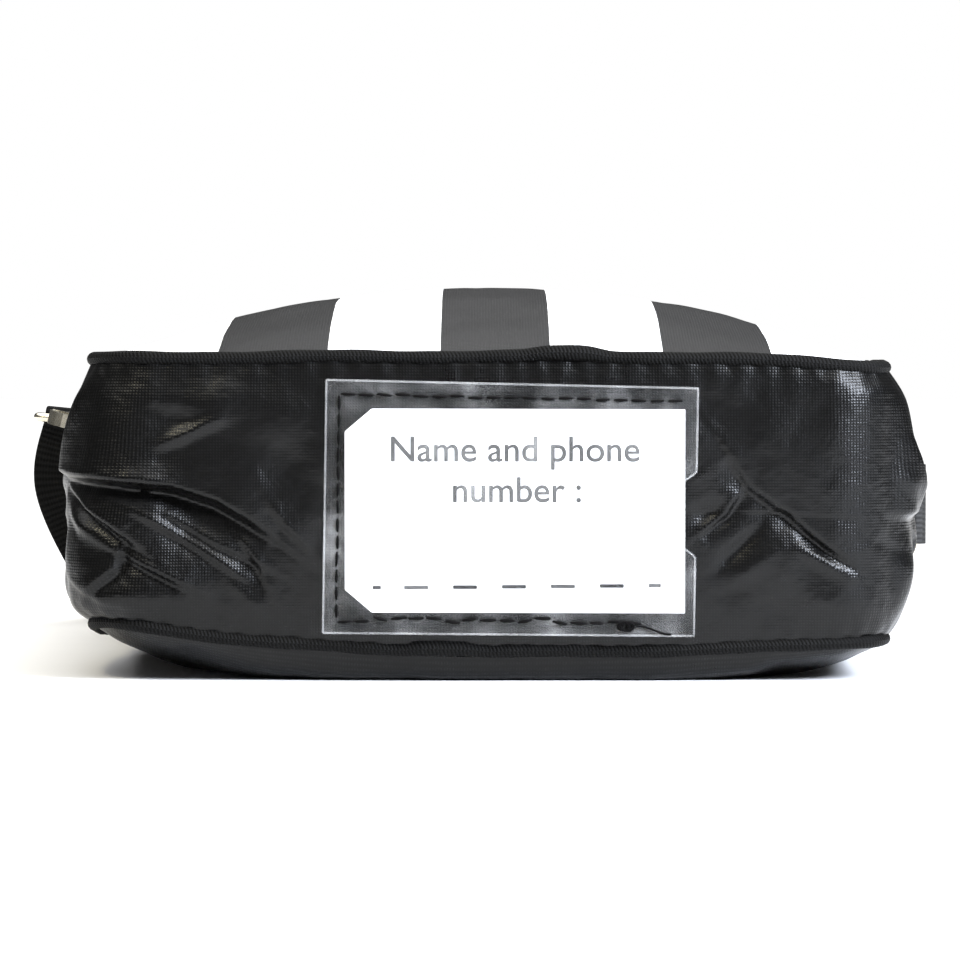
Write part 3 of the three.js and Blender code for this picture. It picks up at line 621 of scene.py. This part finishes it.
def front_surface(x, y):
    crown = (1 - np.abs(x / HALF_W) ** 2.25) * (1 - np.abs(y / HALF_H) ** 2.6)
    d = edge_distance(x, y)
    soft = ripple(x, y, 5, 46, 0.35) + ripple(x, y, 6, 14, 0.06)
    pucker = 0.25 * np.sin(2 * math.pi * (x + y) / 7) * np.exp(-d / 5)
    raised = FRONT_CROWN * np.maximum(crown, 0)
    return front_seam(x, y) + 0.4 + raised + (soft + pucker) * smoothstep(0, 6, d)


def back_surface(x, y):
    drop = 3 + 9.5 * (1 - np.minimum(np.abs(x) / HALF_W, 1) ** 2.5)
    d = edge_distance(x, y)
    soft = ripple(x, y, 8, 24, 0.5) + ripple(x, y, 9, 9, 0.1)
    z = back_seam(x, y) - 0.4 - drop * (1 - np.exp(-d / 5.5)) + soft * smoothstep(0, 5, d)
    level = 0.35
    return level + (z - level) * smoothstep(-6, 6, z - level) * (z > level - 6) + np.zeros_like(z)


def panel_piece(name, surface, material, inset, depth, thickness, flip, rings=60, around=420):
    points = panel_points(surface, inset, rings, around)
    points[..., 2] += depth
    uv = points[..., :2].copy()
    obj = grid_object(name, points, uv, material, None, closed=True, flip=not flip)
    merge_middle(obj)
    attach(obj, "bag")
    thicken(obj, thickness)
    return obj


def merge_middle(obj):
    """The first point of every row is the same place, so they become one point."""
    bm = bmesh.new()
    bm.from_mesh(obj.data)
    bmesh.ops.remove_doubles(bm, verts=bm.verts, dist=1e-7)
    bm.to_mesh(obj.data)
    bm.free()


def cut_zip_slot(obj):
    """The cloth round the fixed ends of the zip is left open, for the slider to run on through it."""
    bm = bmesh.new()
    bm.from_mesh(obj.data)
    doomed = []
    for face in bm.faces:
        place = face.calc_center_median() / MM
        in_slot = abs(place.x) < SLOT_END_X and abs(place.z - ZIP_Z) < SLOT_HALF_H
        if place.y > SLOT_START_Y and in_slot:
            doomed.append(face)
    bmesh.ops.delete(bm, geom=doomed, context="FACES")
    bm.to_mesh(obj.data)
    bm.free()


def build_shell():
    gusset = gusset_piece("gusset_cloth", NYLON, 0.0, FABRIC, STARTS[5] - FLAP_FIXED_X, 0.75, 108)
    cut_zip_slot(gusset)
    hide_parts("gusset_shell")
    front = panel_piece("front_cloth", front_surface, STRIPED, 0.5, 0, FABRIC, False)
    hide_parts("front_panel")
    back = panel_piece("back_cloth", back_surface, NYLON, 0.5, 0, FABRIC, True)
    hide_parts("back_panel")


def build_layers():
    """Foam and lining behind the shell."""
    reach = STARTS[5] - FLAP_FIXED_X - 14
    for name, material, depth, thickness in (("foam", FOAM, 1.3, 3.0), ("lining", FOIL, 5.6, 0.4)):
        piece = gusset_piece(f"gusset_{name}_sheet", material, depth + 1.6, thickness, reach, 2.5, 34)
        sides = (("front", front_surface, -depth, False), ("back", back_surface, depth, True))
        front, back = [
            panel_piece(f"{side}_{name}_sheet", surface, material, 9, offset, thickness, flip, 30, 200)
            for side, surface, offset, flip in sides
        ]
        for obj, node in ((piece, "gusset"), (front, "front"), (back, "back")):
            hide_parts(f"{node}_{name}")


def piping(name, seam, node, join_x):
    """Cord in binding round a panel. Its ends overlap in a low hump beside the bottom's middle."""
    s = np.arange(-STARTS[5], STARTS[5], 1.6)
    p, n = outline(s, 0.5)
    lap = np.exp(-(((s - join_x) / 9) ** 4))
    z = seam(p[:, 0], p[:, 1]) + 0.25 * np.sin(s / 9) + 0.9 * lap
    path = np.column_stack([p + n * (0.7 * lap + 0.15 * np.sin(s / 5))[:, None], z])
    radius = PIPING_R * (1 + 0.05 * np.sin(s / 3.1) + 0.16 * lap)
    rings, uv = tube_rings(path, radius, 14, True)
    obj = grid_object(name, rings, uv * (1, 2.0), PIPING, "bag", closed=True)
    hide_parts(node)
    return obj


# ---- Name window ----
WINDOW_LEFT = (-43.6, -42.6)
WINDOW_RIGHT = (53.2, 54.2)
WINDOW_BOTTOM = (13.2, 12.4)
WINDOW_TOP = (79.2, 77.0)
WINDOW_BACK_Y = -111.5
NOTCH_Z = 44.1
NOTCH_DEPTH = 4.2
VINYL_T = 0.35


def window_point(a, b):
    """A point of the slightly crooked window, a across and b up it, both from 0 to 1."""
    def between(ends, share):
        return ends[0] + (ends[1] - ends[0]) * share

    x = between((between(WINDOW_LEFT, b), between(WINDOW_RIGHT, b)), a)
    z = between((between(WINDOW_BOTTOM, a), between(WINDOW_TOP, a)), b)
    return x, z


def vinyl_y(x, z):
    """Clear sheet that is pressed down along its stitches and stands off over the card."""
    inside = np.minimum(np.minimum(x + 43, 54 - x), np.minimum(z - 12.6, 78 - z))
    lift = 1.5 * smoothstep(2.0, 9, inside)
    seam = -0.35 * np.exp(-(((inside - 3.4) / 1.0) ** 2))
    return WINDOW_BACK_Y - 0.55 - lift - seam + ripple(x, z, 21, 34, 0.16) + ripple(x, z, 22, 12, 0.05)


def build_window():
    a = np.linspace(0, 1, 130)[:, None]
    b = np.linspace(0, 1, 90)[None, :]
    x, z = window_point(a, b)
    notch = NOTCH_DEPTH * (1 - smoothstep(7.5, 11.5, np.abs(z - NOTCH_Z)))
    x = x - notch * a**6
    points = stacked(x, vinyl_y(x, z), z)
    obj = grid_object("window_vinyl", points, stacked(x, z), VINYL, "bag", thickness=VINYL_T)
    border = np.vstack([points[:, 0], points[-1, 1:], points[-2::-1, -1], points[0, -2::-1]])
    edge = mesh_of_tubes("window_cut_edge", [tube_rings(border, 0.3, 8)], VINYL_EDGE, "bag")
    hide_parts("name_window_sleeve")


def stitch(a, b, out, radius, rise):
    """One stitch from a to b: it rises out of the cloth, lies along it and dives back in."""
    a, b, out = (np.asarray(p, float) for p in (a, b, out))
    t = np.linspace(0, 1, 9)[:, None]
    path = a + (b - a) * t + out * (rise * (1 - np.abs(2 * t - 1) ** 4) - 0.25)
    taper = 0.55 + 0.45 * np.sin(math.pi * np.clip(t[:, 0], 0.08, 0.92))
    return tube_rings(path, radius * taper, 8)


def mesh_of_tubes(name, tubes, material, body):
    """Many tubes as one piece."""
    vertices, faces, uvs = [], [], []
    for rings, uv in tubes:
        rows, columns = rings.shape[:2]
        base = len(vertices)
        vertices.extend((rings.reshape(-1, 3) * MM).tolist())
        flat = uv.reshape(-1, 2)
        for i in range(rows - 1):
            for j in range(columns - 1):
                corner = i * columns + j
                quad = [corner, corner + columns, corner + columns + 1, corner + 1]
                faces.append([base + k for k in quad])
                uvs.extend(flat[quad].tolist())
        faces.append([base + k for k in reversed(range(columns - 1))])
        uvs.extend([(0, 0)] * (columns - 1))
        faces.append([base + (rows - 1) * columns + k for k in range(columns - 1)])
        uvs.extend([(0, 0)] * (columns - 1))
    mesh = bpy.data.meshes.new(name)
    mesh.from_pydata(vertices, [], faces)
    layer = mesh.uv_layers.new(name="UVMap")
    layer.data.foreach_set("uv", np.array(uvs, np.float32).ravel())
    return new_object(name, mesh, material, body)


def build_window_stitches():
    """Running stitch on three sides. The bottom's thread is loose, and ends in a knot with a tail."""
    source = np.random.default_rng(5)
    inset_a = 3.4 / 97
    inset_b = 3.6 / 66
    out = (0, -1, 0)
    tubes = []

    def run(start, end, count, loose):
        for k in range(count):
            ends = []
            for t in (k + 0.10, k + 0.84):
                t /= count
                a = start[0] + (end[0] - start[0]) * t
                b = start[1] + (end[1] - start[1]) * t
                x, z = window_point(a, b)
                wobble = source.uniform(-1, 1, 2) * (0.8 if loose else 0.22)
                x, z = x + wobble[0] * 0.5, z + wobble[1]
                ends.append((x, float(vinyl_y(x, z)) - 0.15, z))
            tubes.append(stitch(ends[0], ends[1], out, 0.5 if loose else 0.42, 0.55 if loose else 0.4))

    run((inset_a, 1 - inset_b), (1 - inset_a, 1 - inset_b), 19, False)
    run((inset_a, inset_b), (inset_a, 1 - inset_b), 13, False)
    run((inset_a, inset_b), (0.86, inset_b), 17, True)
    knot_x, knot_z = 35.3, 14.9
    knot_y = float(vinyl_y(knot_x, knot_z)) - 0.5
    for k in range(6):
        turn = np.linspace(0, 2 * math.pi, 14) + k
        tilt = k * 1.1
        loop = np.column_stack([
            knot_x + 2.1 * np.cos(turn) * math.cos(tilt) + 0.5 * math.sin(3 * k),
            knot_y + 0.3 * np.sin(2 * turn),
            knot_z + 1.1 * np.sin(turn) + 0.5 * np.cos(turn) * math.sin(tilt),
        ])
        tubes.append(tube_rings(loop, 0.34, 8))
    t = np.linspace(0, 1, 24)
    tail_x = knot_x + 12 * t
    tail_z = knot_z - 0.7 + 0.9 * np.sin(5 * t) - 0.5 * t
    tail = np.column_stack([tail_x, vinyl_y(tail_x, tail_z) - 0.35, tail_z])
    tubes.append(tube_rings(tail, 0.3, 8))
    mesh_of_tubes("window_stitches", tubes, THREAD, "bag")


# ---- Card ----
CARD_X = (-37.8, 50.8)
CARD_Z = (18.6, 71.7)
CARD_Y = -112.5
CARD_HALF_T = 0.15
CHAMFER = 7.0


def card_plate():
    left, right = CARD_X
    bottom, top = CARD_Z
    rise = CHAMFER * 0.85
    crooked = 0.2
    shape = [
        (left + CHAMFER, bottom), (right, bottom - crooked), (right, top - crooked),
        (left + CHAMFER, top), (left, top - rise), (left, bottom + rise),
    ]
    mesh = bpy.data.meshes.new("card_plate")
    front = [(x * MM, (CARD_Y - CARD_HALF_T) * MM, z * MM) for x, z in shape]
    back = [(x * MM, (CARD_Y + CARD_HALF_T) * MM, z * MM) for x, z in shape]
    count = len(shape)
    sides = [(k, k + count, (k + 1) % count + count, (k + 1) % count) for k in range(count)]
    ends = [tuple(range(count)), tuple(reversed(range(count, 2 * count)))]
    mesh.from_pydata(front + back, [], [*ends, *sides])
    obj = new_object("card_plate", mesh, CARD, None)
    mesh.polygons.foreach_set("use_smooth", [False] * len(mesh.polygons))
    return obj


def card_words(text, middle, height):
    """A printed line, as thin raised letters on the card."""
    curve = bpy.data.curves.new("printed_line", "FONT")
    curve.body = text
    curve.size = height * MM
    curve.align_x = "CENTER"
    curve.extrude = 0.03 * MM
    curve.offset = 0.1 * MM
    obj = linked("printed_line", curve)
    obj.location = (middle[0] * MM, (CARD_Y - 0.17) * MM, middle[1] * MM)
    obj.rotation_euler = (math.pi / 2, 0, 0)
    select([obj])
    bpy.ops.object.convert(target="MESH")
    obj = bpy.context.view_layer.objects.active
    obj.data.materials.clear()
    obj.data.materials.append(GREY_INK)
    return obj


def card_dash(x, z, length):
    mesh = bpy.data.meshes.new("printed_dash")
    half = 0.5
    y = (CARD_Y - 0.19) * MM
    corners = [(x, z - half), (x + length, z - half), (x + length, z + half), (x, z + half)]
    mesh.from_pydata([(cx * MM, y, cz * MM) for cx, cz in corners], [], [(0, 1, 2, 3)])
    return new_object("printed_dash", mesh, BLACK_INK, None)


def build_card():
    plate = card_plate()
    letters = 9.4
    lines = (("Name and phone", (6.4, 58.0)), ("number :", (7.0, 47.4)))
    words = [card_words(text, middle, letters) for text, middle in lines]
    dash_z = 25.1
    dash = 6.3
    pitch = 12.75
    dashes = [card_dash(-30.6, dash_z, 2.2)]
    dashes += [card_dash(-22.4 + k * pitch, dash_z + 0.1 * k, dash if k < 5 else 3.2) for k in range(6)]
    card = join([plate, *words, *dashes], "card_plate")
    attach(card, "card")
    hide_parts("name_card")


# ---- Mouth strips and zip ----
MOUTH_SEAM_ROOM = 2.1
TEETH_MIDDLE_Y = 112.5
COIL_PITCH = 1.3


def mouth_y(z, depth=0.0):
    w = (z - MIDDLE_Z) / (MIDDLE_Z - BACK_SEAM_Z - MOUTH_SEAM_ROOM)
    return HALF_H + 6 * (1 - w * w) - depth


def across_joint(name, make, flap):
    """A strip in three pieces: its middle moves with the flap, and its ends stay where they are made."""
    left = make(f"{name}_left", -FLAP_FIXED_X, -FLAP_FREE_X)
    middle = make(f"{name}_middle", -FLAP_FREE_X, FLAP_FREE_X)
    right = make(f"{name}_right", FLAP_FREE_X, FLAP_FIXED_X)
    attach(middle, flap)
    for obj, sign in ((left, -1), (right, 1)):
        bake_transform(obj)
    return [left, middle, right]


def strip_maker(z0, z1, depth, thickness, material, soft=0.0):
    z0, z1 = sorted((z0, z1))

    def make(name, x0, x1):
        x = np.linspace(x0, x1, max(8, int(abs(x1 - x0) / 1.4)))[:, None]
        z = np.linspace(z0, z1, 22)[None, :]
        edge = np.minimum(np.abs(z - z0), np.abs(z - z1))
        wave = (ripple(x, z, 31, 26, soft) + ripple(x, z, 32, 8, soft * 0.25)) * smoothstep(0, 4, edge)
        points = stacked(x, mouth_y(z, depth) + wave, z)
        return grid_object(name, points, stacked(x, z), material, None, thickness=thickness, flip=True)
    return make


def coil_tube(x, z):
    """One row of the zip's teeth, thicker at each tooth."""
    tooth = 0.5 + 0.5 * np.cos(2 * math.pi * x / COIL_PITCH)
    path = np.column_stack([x, np.full_like(x, TEETH_MIDDLE_Y), np.full_like(x, z)])
    return tube_rings(path, 0.52 + 0.36 * tooth, 10)


def coil_maker(z):
    def make(name, x0, x1):
        x = np.linspace(x0, x1, int(abs(x1 - x0) / COIL_PITCH * 8))
        return mesh_of_tubes(name, [coil_tube(x, z)], COIL, None)
    return make


def hem_maker(z):
    def make(name, x0, x1):
        tubes = []
        count = int(abs(x1 - x0) / 3.2)
        for k in range(count):
            a = x0 + (x1 - x0) * (k + 0.12) / count
            b = x0 + (x1 - x0) * (k + 0.86) / count
            y = mouth_y(z) + 0.25
            tubes.append(stitch((a, y, z), (b, y, z), (0, 1, 0), 0.26, 0.22))
        return mesh_of_tubes(name, tubes, THREAD, None)
    return make


def build_mouth():
    for side, sign, edge in (("front", 1, 81.5), ("back", -1, 13.5)):
        flap = f"{side}_flap"
        seam = FRONT_SEAM_Z - 1.2 if sign > 0 else BACK_SEAM_Z + 1.2
        cloth = strip_maker(ZIP_Z + 6 * sign, edge, 0, FABRIC, NYLON, 0.28)
        foam_strip = strip_maker(ZIP_Z + 11.5 * sign, edge - 4 * sign, 1.4, 2.8, FOAM)
        tape = strip_maker(ZIP_Z + 1.4 * sign, ZIP_Z + 10.8 * sign, 1.45, 0.5, TAPE)
        coil = coil_maker(ZIP_Z + 1.0 * sign)
        for name, make, node, slot in (
            (f"mouth_{side}_cloth", cloth, f"mouth_{side}_strip", "nylon"),
            (f"mouth_{side}_padding", foam_strip, f"mouth_{side}_foam", "foam"),
            (f"zip_{side}_ribbon", tape, f"zip_tape_{side}", "zip_tape"),
            (f"zip_{side}_coil", coil, f"zip_teeth_{side}", "zip_teeth"),
        ):
            for obj in across_joint(name, make, flap):
                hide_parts(node)
        across_joint(f"mouth_{side}_hem", hem_maker(ZIP_Z + 8.2 * sign), flap)
        hinge = strip_maker(edge, seam, 0, FABRIC, NYLON)(f"mouth_{side}_hinge", -FLAP_FIXED_X, FLAP_FIXED_X)
        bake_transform(hinge)


def build_zip_ends():
    """The chain's two fixed ends, each in a slot of the gusset, with its tape and a stop."""
    for side, sign, chain_x, tape_x in (("left", -1, 73.5, 74.5), ("right", 1, 68.6, 67.6)):
        x = np.linspace(*sorted((sign * chain_x, sign * 81)), 80)
        tubes = [coil_tube(x, z) for z in (ZIP_Z - 1.0, ZIP_Z + 1.0)]
        stop = np.array([(sign * 80.0, 113.2, z) for z in (ZIP_Z - 2.2, ZIP_Z + 2.2)])
        tubes.append(tube_rings(stop, 0.7, 10))
        coil = mesh_of_tubes(f"zip_{side}_fixed_coil", tubes, COIL, "bag")
        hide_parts(f"zip_end_{side}")
        x = np.linspace(*sorted((sign * tape_x, sign * 84)), 14)[:, None]
        z = np.linspace(ZIP_Z - 9, ZIP_Z + 9, 20)[None, :]
        points = stacked(x, mouth_y(z, 1.9), z)
        tape = grid_object(
            f"zip_{side}_fixed_tape", points, stacked(x, z), TAPE, "bag", thickness=0.5, flip=True
        )


# ---- Rings, hooks and eyes ----
WIRE_R = 1.5
RING_DEPTH = 17.5
EYE_BAR = 36.0
SIDES = {
    "left": {"sign": -1, "place": (-122.5, 79.5, 64.0), "tilt": 14, "swing": 40, "flare": 5, "tuck": 9},
    "right": {"sign": 1, "place": (134.6, 76.0, 41.0), "tilt": 0, "swing": -27, "flare": 0, "tuck": 3},
}


def rounded_loop(corners):
    """Points of a closed polygon with rounded corners. Each corner is x, y and a bend radius."""
    points = []
    count = len(corners)
    for k, (x, y, bend) in enumerate(corners):
        corner = np.array([x, y], float)
        arriving = corner - corners[k - 1][:2]
        leaving = np.array(corners[(k + 1) % count][:2]) - corner
        arriving /= np.linalg.norm(arriving)
        leaving /= np.linalg.norm(leaving)
        turn = math.acos(np.clip(arriving @ leaving, -1, 1))
        outward = np.array([arriving[1], -arriving[0]])
        middle = corner - arriving * bend * math.tan(turn / 2) - outward * bend
        for angle in np.linspace(0, turn, 10 if bend < 5 else 22):
            c, s = math.cos(angle), math.sin(angle)
            out = np.array([outward[0] * c - outward[1] * s, outward[0] * s + outward[1] * c])
            points.append(middle + out * bend)
    return np.array(points)


def loop_piece(name, loop, matrix, body, extra=()):
    """A closed loop of round wire lying in a plane, with any stems, placed by a matrix."""
    tubes = []
    closed = np.vstack([loop, loop[:2]])
    closed = np.column_stack([closed, np.zeros(len(closed))])
    for path, radius in ((closed, WIRE_R), *extra):
        path = np.asarray(path, float)
        world = np.array([matrix @ Vector(p) for p in path])
        tubes.append(tube_rings(world, radius, 16))
    return mesh_of_tubes(name, tubes, METAL, body)


def side_frame(side):
    place = Matrix.Translation(Vector(side["place"]))
    tilt = Matrix.Rotation(math.radians(side["tilt"]), 4, "Y")
    return place @ tilt @ Matrix.Diagonal((side["sign"], 1, 1, 1))


def hook_origin(side):
    swing = math.radians(side["swing"])
    return side_frame(side) @ Vector((RING_DEPTH * math.sin(swing), RING_DEPTH * math.cos(swing), 0))


EYES = {name: hook_origin(side) for name, side in SIDES.items()}
AXIS = (EYES["right"] - EYES["left"]).normalized()


def build_rings():
    half = 14.5
    bend = 1.9
    base = 28.5
    straight = [(0, half, bend), (0, -half, bend)]
    ring = rounded_loop([*straight, (RING_DEPTH, -half, half), (RING_DEPTH, half, half)])
    bar = [(half, EYE_BAR, bend), (-half, EYE_BAR, bend)]
    eye_loop = rounded_loop([*bar, (-half, base, bend), (half, base, bend)])
    ring_plane = Matrix(((0, 0, 1, 0), (1, 0, 0, 0), (0, 1, 0, 0), (0, 0, 0, 1)))
    for name, side in SIDES.items():
        turn = Matrix.Rotation(-math.radians(side["swing"]), 4, "Z")
        obj = loop_piece(f"{name}_ring_wire", ring, side_frame(side) @ turn @ ring_plane, f"{name}_ring")
        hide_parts(f"{name}_d_ring")
        lean = Matrix.Rotation(-math.atan2(AXIS.z, AXIS.x), 4, "Y")
        stem = [((0, 16.7, 0), (0, 17.2, 0), (0, 18.1, 0)), 2.2]
        shaft = [((0, 17.5, 0), (0, 23, 0), (0, base, 0)), 1.5]
        collar = [((0, 24.3, 0), (0, 25.2, 0), (0, 27.6, 0), (0, base, 0)), (2.9, 3.2, 2.6, 1.8)]
        obj = loop_piece(f"{name}_eye_wire", eye_loop, Matrix.Translation(EYES[name]) @ lean, f"{name}_eye",
                         (stem, shaft, collar))
        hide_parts(f"{name}_swivel_eye")


def finish_cad_node(name, material, bevel):
    """A CAD node keeps its shape, and gets softened edges and a real finish."""
    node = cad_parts[name]
    node.data.materials.clear()
    node.data.materials.append(material)
    edge = node.modifiers.new("edges", "BEVEL")
    edge.width = bevel * MM
    edge.segments = 3
    edge.limit_method = "ANGLE"
    edge.angle_limit = math.radians(35)
    edge.use_clamp_overlap = True


def build_hardware():
    build_rings()
    for side in SIDES:
        finish_cad_node(f"{side}_hook", METAL, 0.55)
        finish_cad_node(f"{side}_hook_gate", METAL, 0.3)
        finish_cad_node(f"{side}_gate_pin", METAL, 0.15)
        finish_cad_node(f"{side}_ring_tab", TAB, 0.3)
    finish_cad_node("zip_slider", METAL, 0.25)
    finish_cad_node("zip_pull", METAL, 0.25)
    finish_cad_node("strap_adjuster", METAL, 0.5)


# ---- Shoulder strap ----
LOOP_R = 3.2
STRAP_Y = 214.0
ON_EDGE_Z = 13.3
RAISED_Z = 16.0
WEBBING_W = 25.0
WEBBING_T = 1.4
STRAP_STEPS = 256
UP = Vector((0, 0, 1))


def leg(eye, side):
    """Places and width directions from an eye bar to the straight stretch behind the bag."""
    sign, flare, tuck = side["sign"], side["flare"], side["tuck"]
    across = AXIS * -sign
    bar = eye + Vector((0, EYE_BAR, 0))
    turned = (across + UP).normalized()
    return [
        (bar + Vector((0, LOOP_R, 0)), across),
        (Vector((bar.x + sign * (flare - 1), bar.y + LOOP_R + 1, max(32, bar.z - 20))), across),
        (Vector((bar.x - sign * tuck, bar.y + 10, 17)), across.lerp(turned, 0.5).normalized()),
        (Vector((bar.x - sign * (tuck + 2), bar.y + 27, ON_EDGE_Z + 0.4)), turned),
        (Vector((bar.x - sign * (tuck + 4), bar.y + 48, ON_EDGE_Z)), UP.copy()),
        (Vector((sign * 92, STRAP_Y - 8, ON_EDGE_Z + 1)), UP.copy()),
        (Vector((sign * 68, STRAP_Y, RAISED_Z)), UP.copy()),
        (Vector((sign * 44, STRAP_Y, RAISED_Z)), UP.copy()),
    ]


def catmull_rom(points, t):
    """Centripetal Catmull-Rom curve through points, at t from 0 to 1."""
    along = t * (len(points) - 1)
    k = min(int(along), len(points) - 2)
    weight = along - k
    p1, p2 = points[k], points[k + 1]
    p0 = points[k - 1] if k > 0 else p1 * 2 - p2
    p3 = points[k + 2] if k + 2 < len(points) else p2 * 2 - p1
    d0, d1, d2 = (math.sqrt((b - a).length) for a, b in ((p0, p1), (p1, p2), (p2, p3)))
    t1 = ((p1 - p0) / d0 - (p2 - p0) / (d0 + d1) + (p2 - p1) / d1) * d1
    t2 = ((p2 - p1) / d1 - (p3 - p1) / (d1 + d2) + (p3 - p2) / d2) * d1
    c2 = (p2 - p1) * 3 - t1 * 2 - t2
    c3 = (p1 - p2) * 2 + t1 + t2
    return p1 + t1 * weight + c2 * weight**2 + c3 * weight**3


def strap_stations():
    route = leg(EYES["left"], SIDES["left"]) + leg(EYES["right"], SIDES["right"])[::-1]
    points = [place for place, _ in route]
    stations = []
    for i in range(STRAP_STEPS + 1):
        t = i / STRAP_STEPS
        along = t * (len(route) - 1)
        k = min(int(along), len(route) - 2)
        ahead = catmull_rom(points, min(1, t + 1e-4))
        tangent = (ahead - catmull_rom(points, max(0, t - 1e-4))).normalized()
        width = route[k][1].lerp(route[k + 1][1], along - k)
        width = (width - tangent * width.dot(tangent)).normalized()
        stations.append((catmull_rom(points, t), width, tangent.cross(width).normalized()))
    stations[0] = (stations[0][0], route[0][1], stations[0][2])
    stations[-1] = (stations[-1][0], route[-1][1], stations[-1][2])
    return stations


def over_bar(eye, width):
    bar = eye + Vector((0, EYE_BAR, 0))
    turns = [math.radians(a) for a in range(10, 171, 10)]
    return [(bar + Vector((0, math.cos(a), math.sin(a))) * LOOP_R, width) for a in turns]


def doubled(stations):
    """The webbing's second run, closing in from the bar's width to one thickness beside the first."""
    closing = STRAP_STEPS * 7 / 64
    beside = 3.2
    result = []
    for i, (place, width, normal) in enumerate(stations):
        near = float(smoothstep(0, closing, i))
        result.append((place + normal * (2 * LOOP_R + (beside - 2 * LOOP_R) * near), width))
    return result


def ribbon_rings(path):
    """Rings round the webbing: flat faces and rounded edges."""
    places = np.array([p for p, _ in path])
    widths = np.array([w for _, w in path])
    along = np.gradient(places, axis=0)
    flats = np.cross(along, widths)
    flats /= np.linalg.norm(flats, axis=1)[:, None]
    half_w, half_t = WEBBING_W / 2, WEBBING_T / 2
    flat = np.linspace(-1, 1, 9) * (half_w - half_t)
    turns = (0.8, 1.57, 2.34)
    half = [(v, half_t) for v in flat]
    half += [(half_w - half_t + half_t * math.sin(a), half_t * math.cos(a)) for a in turns]
    section = np.array(half + [(-v, -w) for v, w in half] + [half[0]])
    rings = places[:, None] + section[None, :, :1] * widths[:, None] + section[None, :, 1:] * flats[:, None]
    length = np.concatenate([[0], np.cumsum(np.linalg.norm(np.diff(places, axis=0), axis=1))])
    return rings, stacked(length[:, None], section[None, :, 0]), flats


def build_strap():
    main = strap_stations()
    left_end = doubled(main[: STRAP_STEPS * 8 // 64 + 1])
    right_run = doubled(main[-(STRAP_STEPS * 33 // 64 + 1):][::-1])
    path = left_end[::-1] + over_bar(EYES["left"], main[0][1])[::-1]
    path += [(place, width) for place, width, _ in main]
    path += over_bar(EYES["right"], main[-1][1])
    path += right_run
    rings, uv, flats = ribbon_rings(path)
    strap = mesh_of_tubes("strap_ribbon", [(rings, uv)], WEBBING, "strap")
    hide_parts("strap_webbing")
    build_strap_stitches(path, flats)


def build_strap_stitches(path, flats):
    """A sewn box with a cross, where the short end is fixed beside the left eye."""
    start = 6
    finish = start + 17
    side = 0.8
    count = 7
    tubes = []
    corners = [
        (start, -side), (finish, -side), (finish, side), (start, side),
        (start, -side), (finish, side), (start, side), (finish, -side),
    ]
    for (i0, v0), (i1, v1) in zip(corners, corners[1:]):
        for k in range(count):
            ends = []
            for t in ((k + 0.1) / count, (k + 0.85) / count):
                at = i0 + (i1 - i0) * t
                i = min(int(at), len(path) - 2)
                across = (v0 + (v1 - v0) * t) * WEBBING_W / 2 * 0.85
                place = path[i][0].lerp(path[i + 1][0], at - i) + path[i][1] * across
                ends.append(np.array(place) + flats[i] * (WEBBING_T / 2 + 0.1))
            tubes.append(stitch(ends[0], ends[1], flats[int(i0)], 0.25, 0.25))
    mesh_of_tubes("strap_stitches", tubes, THREAD, "strap")


# ---- Stage, light and camera ----
def build_stage():
    size = 60.0
    mesh = bpy.data.meshes.new("floor")
    corners = [(-size, -size, 0), (size, -size, 0), (size, size, 0), (-size, size, 0)]
    mesh.from_pydata(corners, [], [(0, 1, 2, 3)])
    g = Graph("floor_paper")
    color = g.tones(g.noise(40.0, 3.0), 0.9, 0.93)
    floor = new_object("floor", mesh, g.finish(Base_Color=color, Roughness=0.9), None)


def area_light(name, place, target, size, power, color):
    data = bpy.data.lights.new(name, "AREA")
    data.shape = "RECTANGLE"
    data.size, data.size_y = size
    data.energy = power
    data.color = color
    obj = linked(name, data)
    obj.location = place
    obj.rotation_euler = (Vector(target) - Vector(place)).to_track_quat("-Z", "Y").to_euler()
    obj.visible_camera = False
    return obj


def build_light():
    world = bpy.data.worlds.new("studio")
    bpy.context.scene.world = world
    world.use_nodes = True
    tree = world.node_tree
    background = tree.nodes["Background"]
    rays = tree.nodes.new("ShaderNodeLightPath")
    level = tree.nodes.new("ShaderNodeMapRange")
    level.inputs["To Min"].default_value = 0.10
    level.inputs["To Max"].default_value = 1.0
    tree.links.new(rays.outputs["Is Camera Ray"], level.inputs["Value"])
    tree.links.new(level.outputs["Result"], background.inputs["Strength"])
    background.inputs["Color"].default_value = (1, 1, 1, 1)
    area_light("top_softbox", (0.3, -0.35, 1.3), (0, 0, 0), (1.0, 1.0), 3, (1, 1, 1))
    area_light("key_softbox", (0.6, -0.7, 1.1), (0, 0, 0.05), (0.3, 0.3), 8, (1, 1, 1))
    area_light("left_softbox", (-0.4, -0.45, 0.75), (-0.08, -0.1, 0.04), (0.12, 0.12), 2.0, (1, 0.90, 0.62))
    area_light("right_softbox", (0.55, -0.5, 0.4), (0.05, -0.1, 0.04), (0.2, 0.2), 13, (0.82, 0.88, 1))
    overhead = bpy.data.lights.new("overhead", "SUN")
    overhead.energy = 3.9
    overhead.angle = math.radians(100)
    linked("overhead", overhead)


def build_camera():
    data = bpy.data.cameras.new("camera")
    camera = linked("camera", data)
    data.sensor_width = 36
    data.lens = 128.9
    camera.location = (-0.0026, -1.0075, 0.075)
    camera.rotation_euler = (math.radians(90 - 1.4), 0, 0)
    bpy.context.scene.camera = camera
    bpy.context.scene.view_settings.view_transform = "Standard"


build_camera()
build_light()
build_stage()
build_shell()
build_layers()
piping("front_piping_cord", front_seam, "front_piping", 20)
piping("back_piping_cord", back_seam, "back_piping", -12)
build_window()
build_window_stitches()
build_card()
build_mouth()
build_zip_ends()
build_hardware()
build_strap()
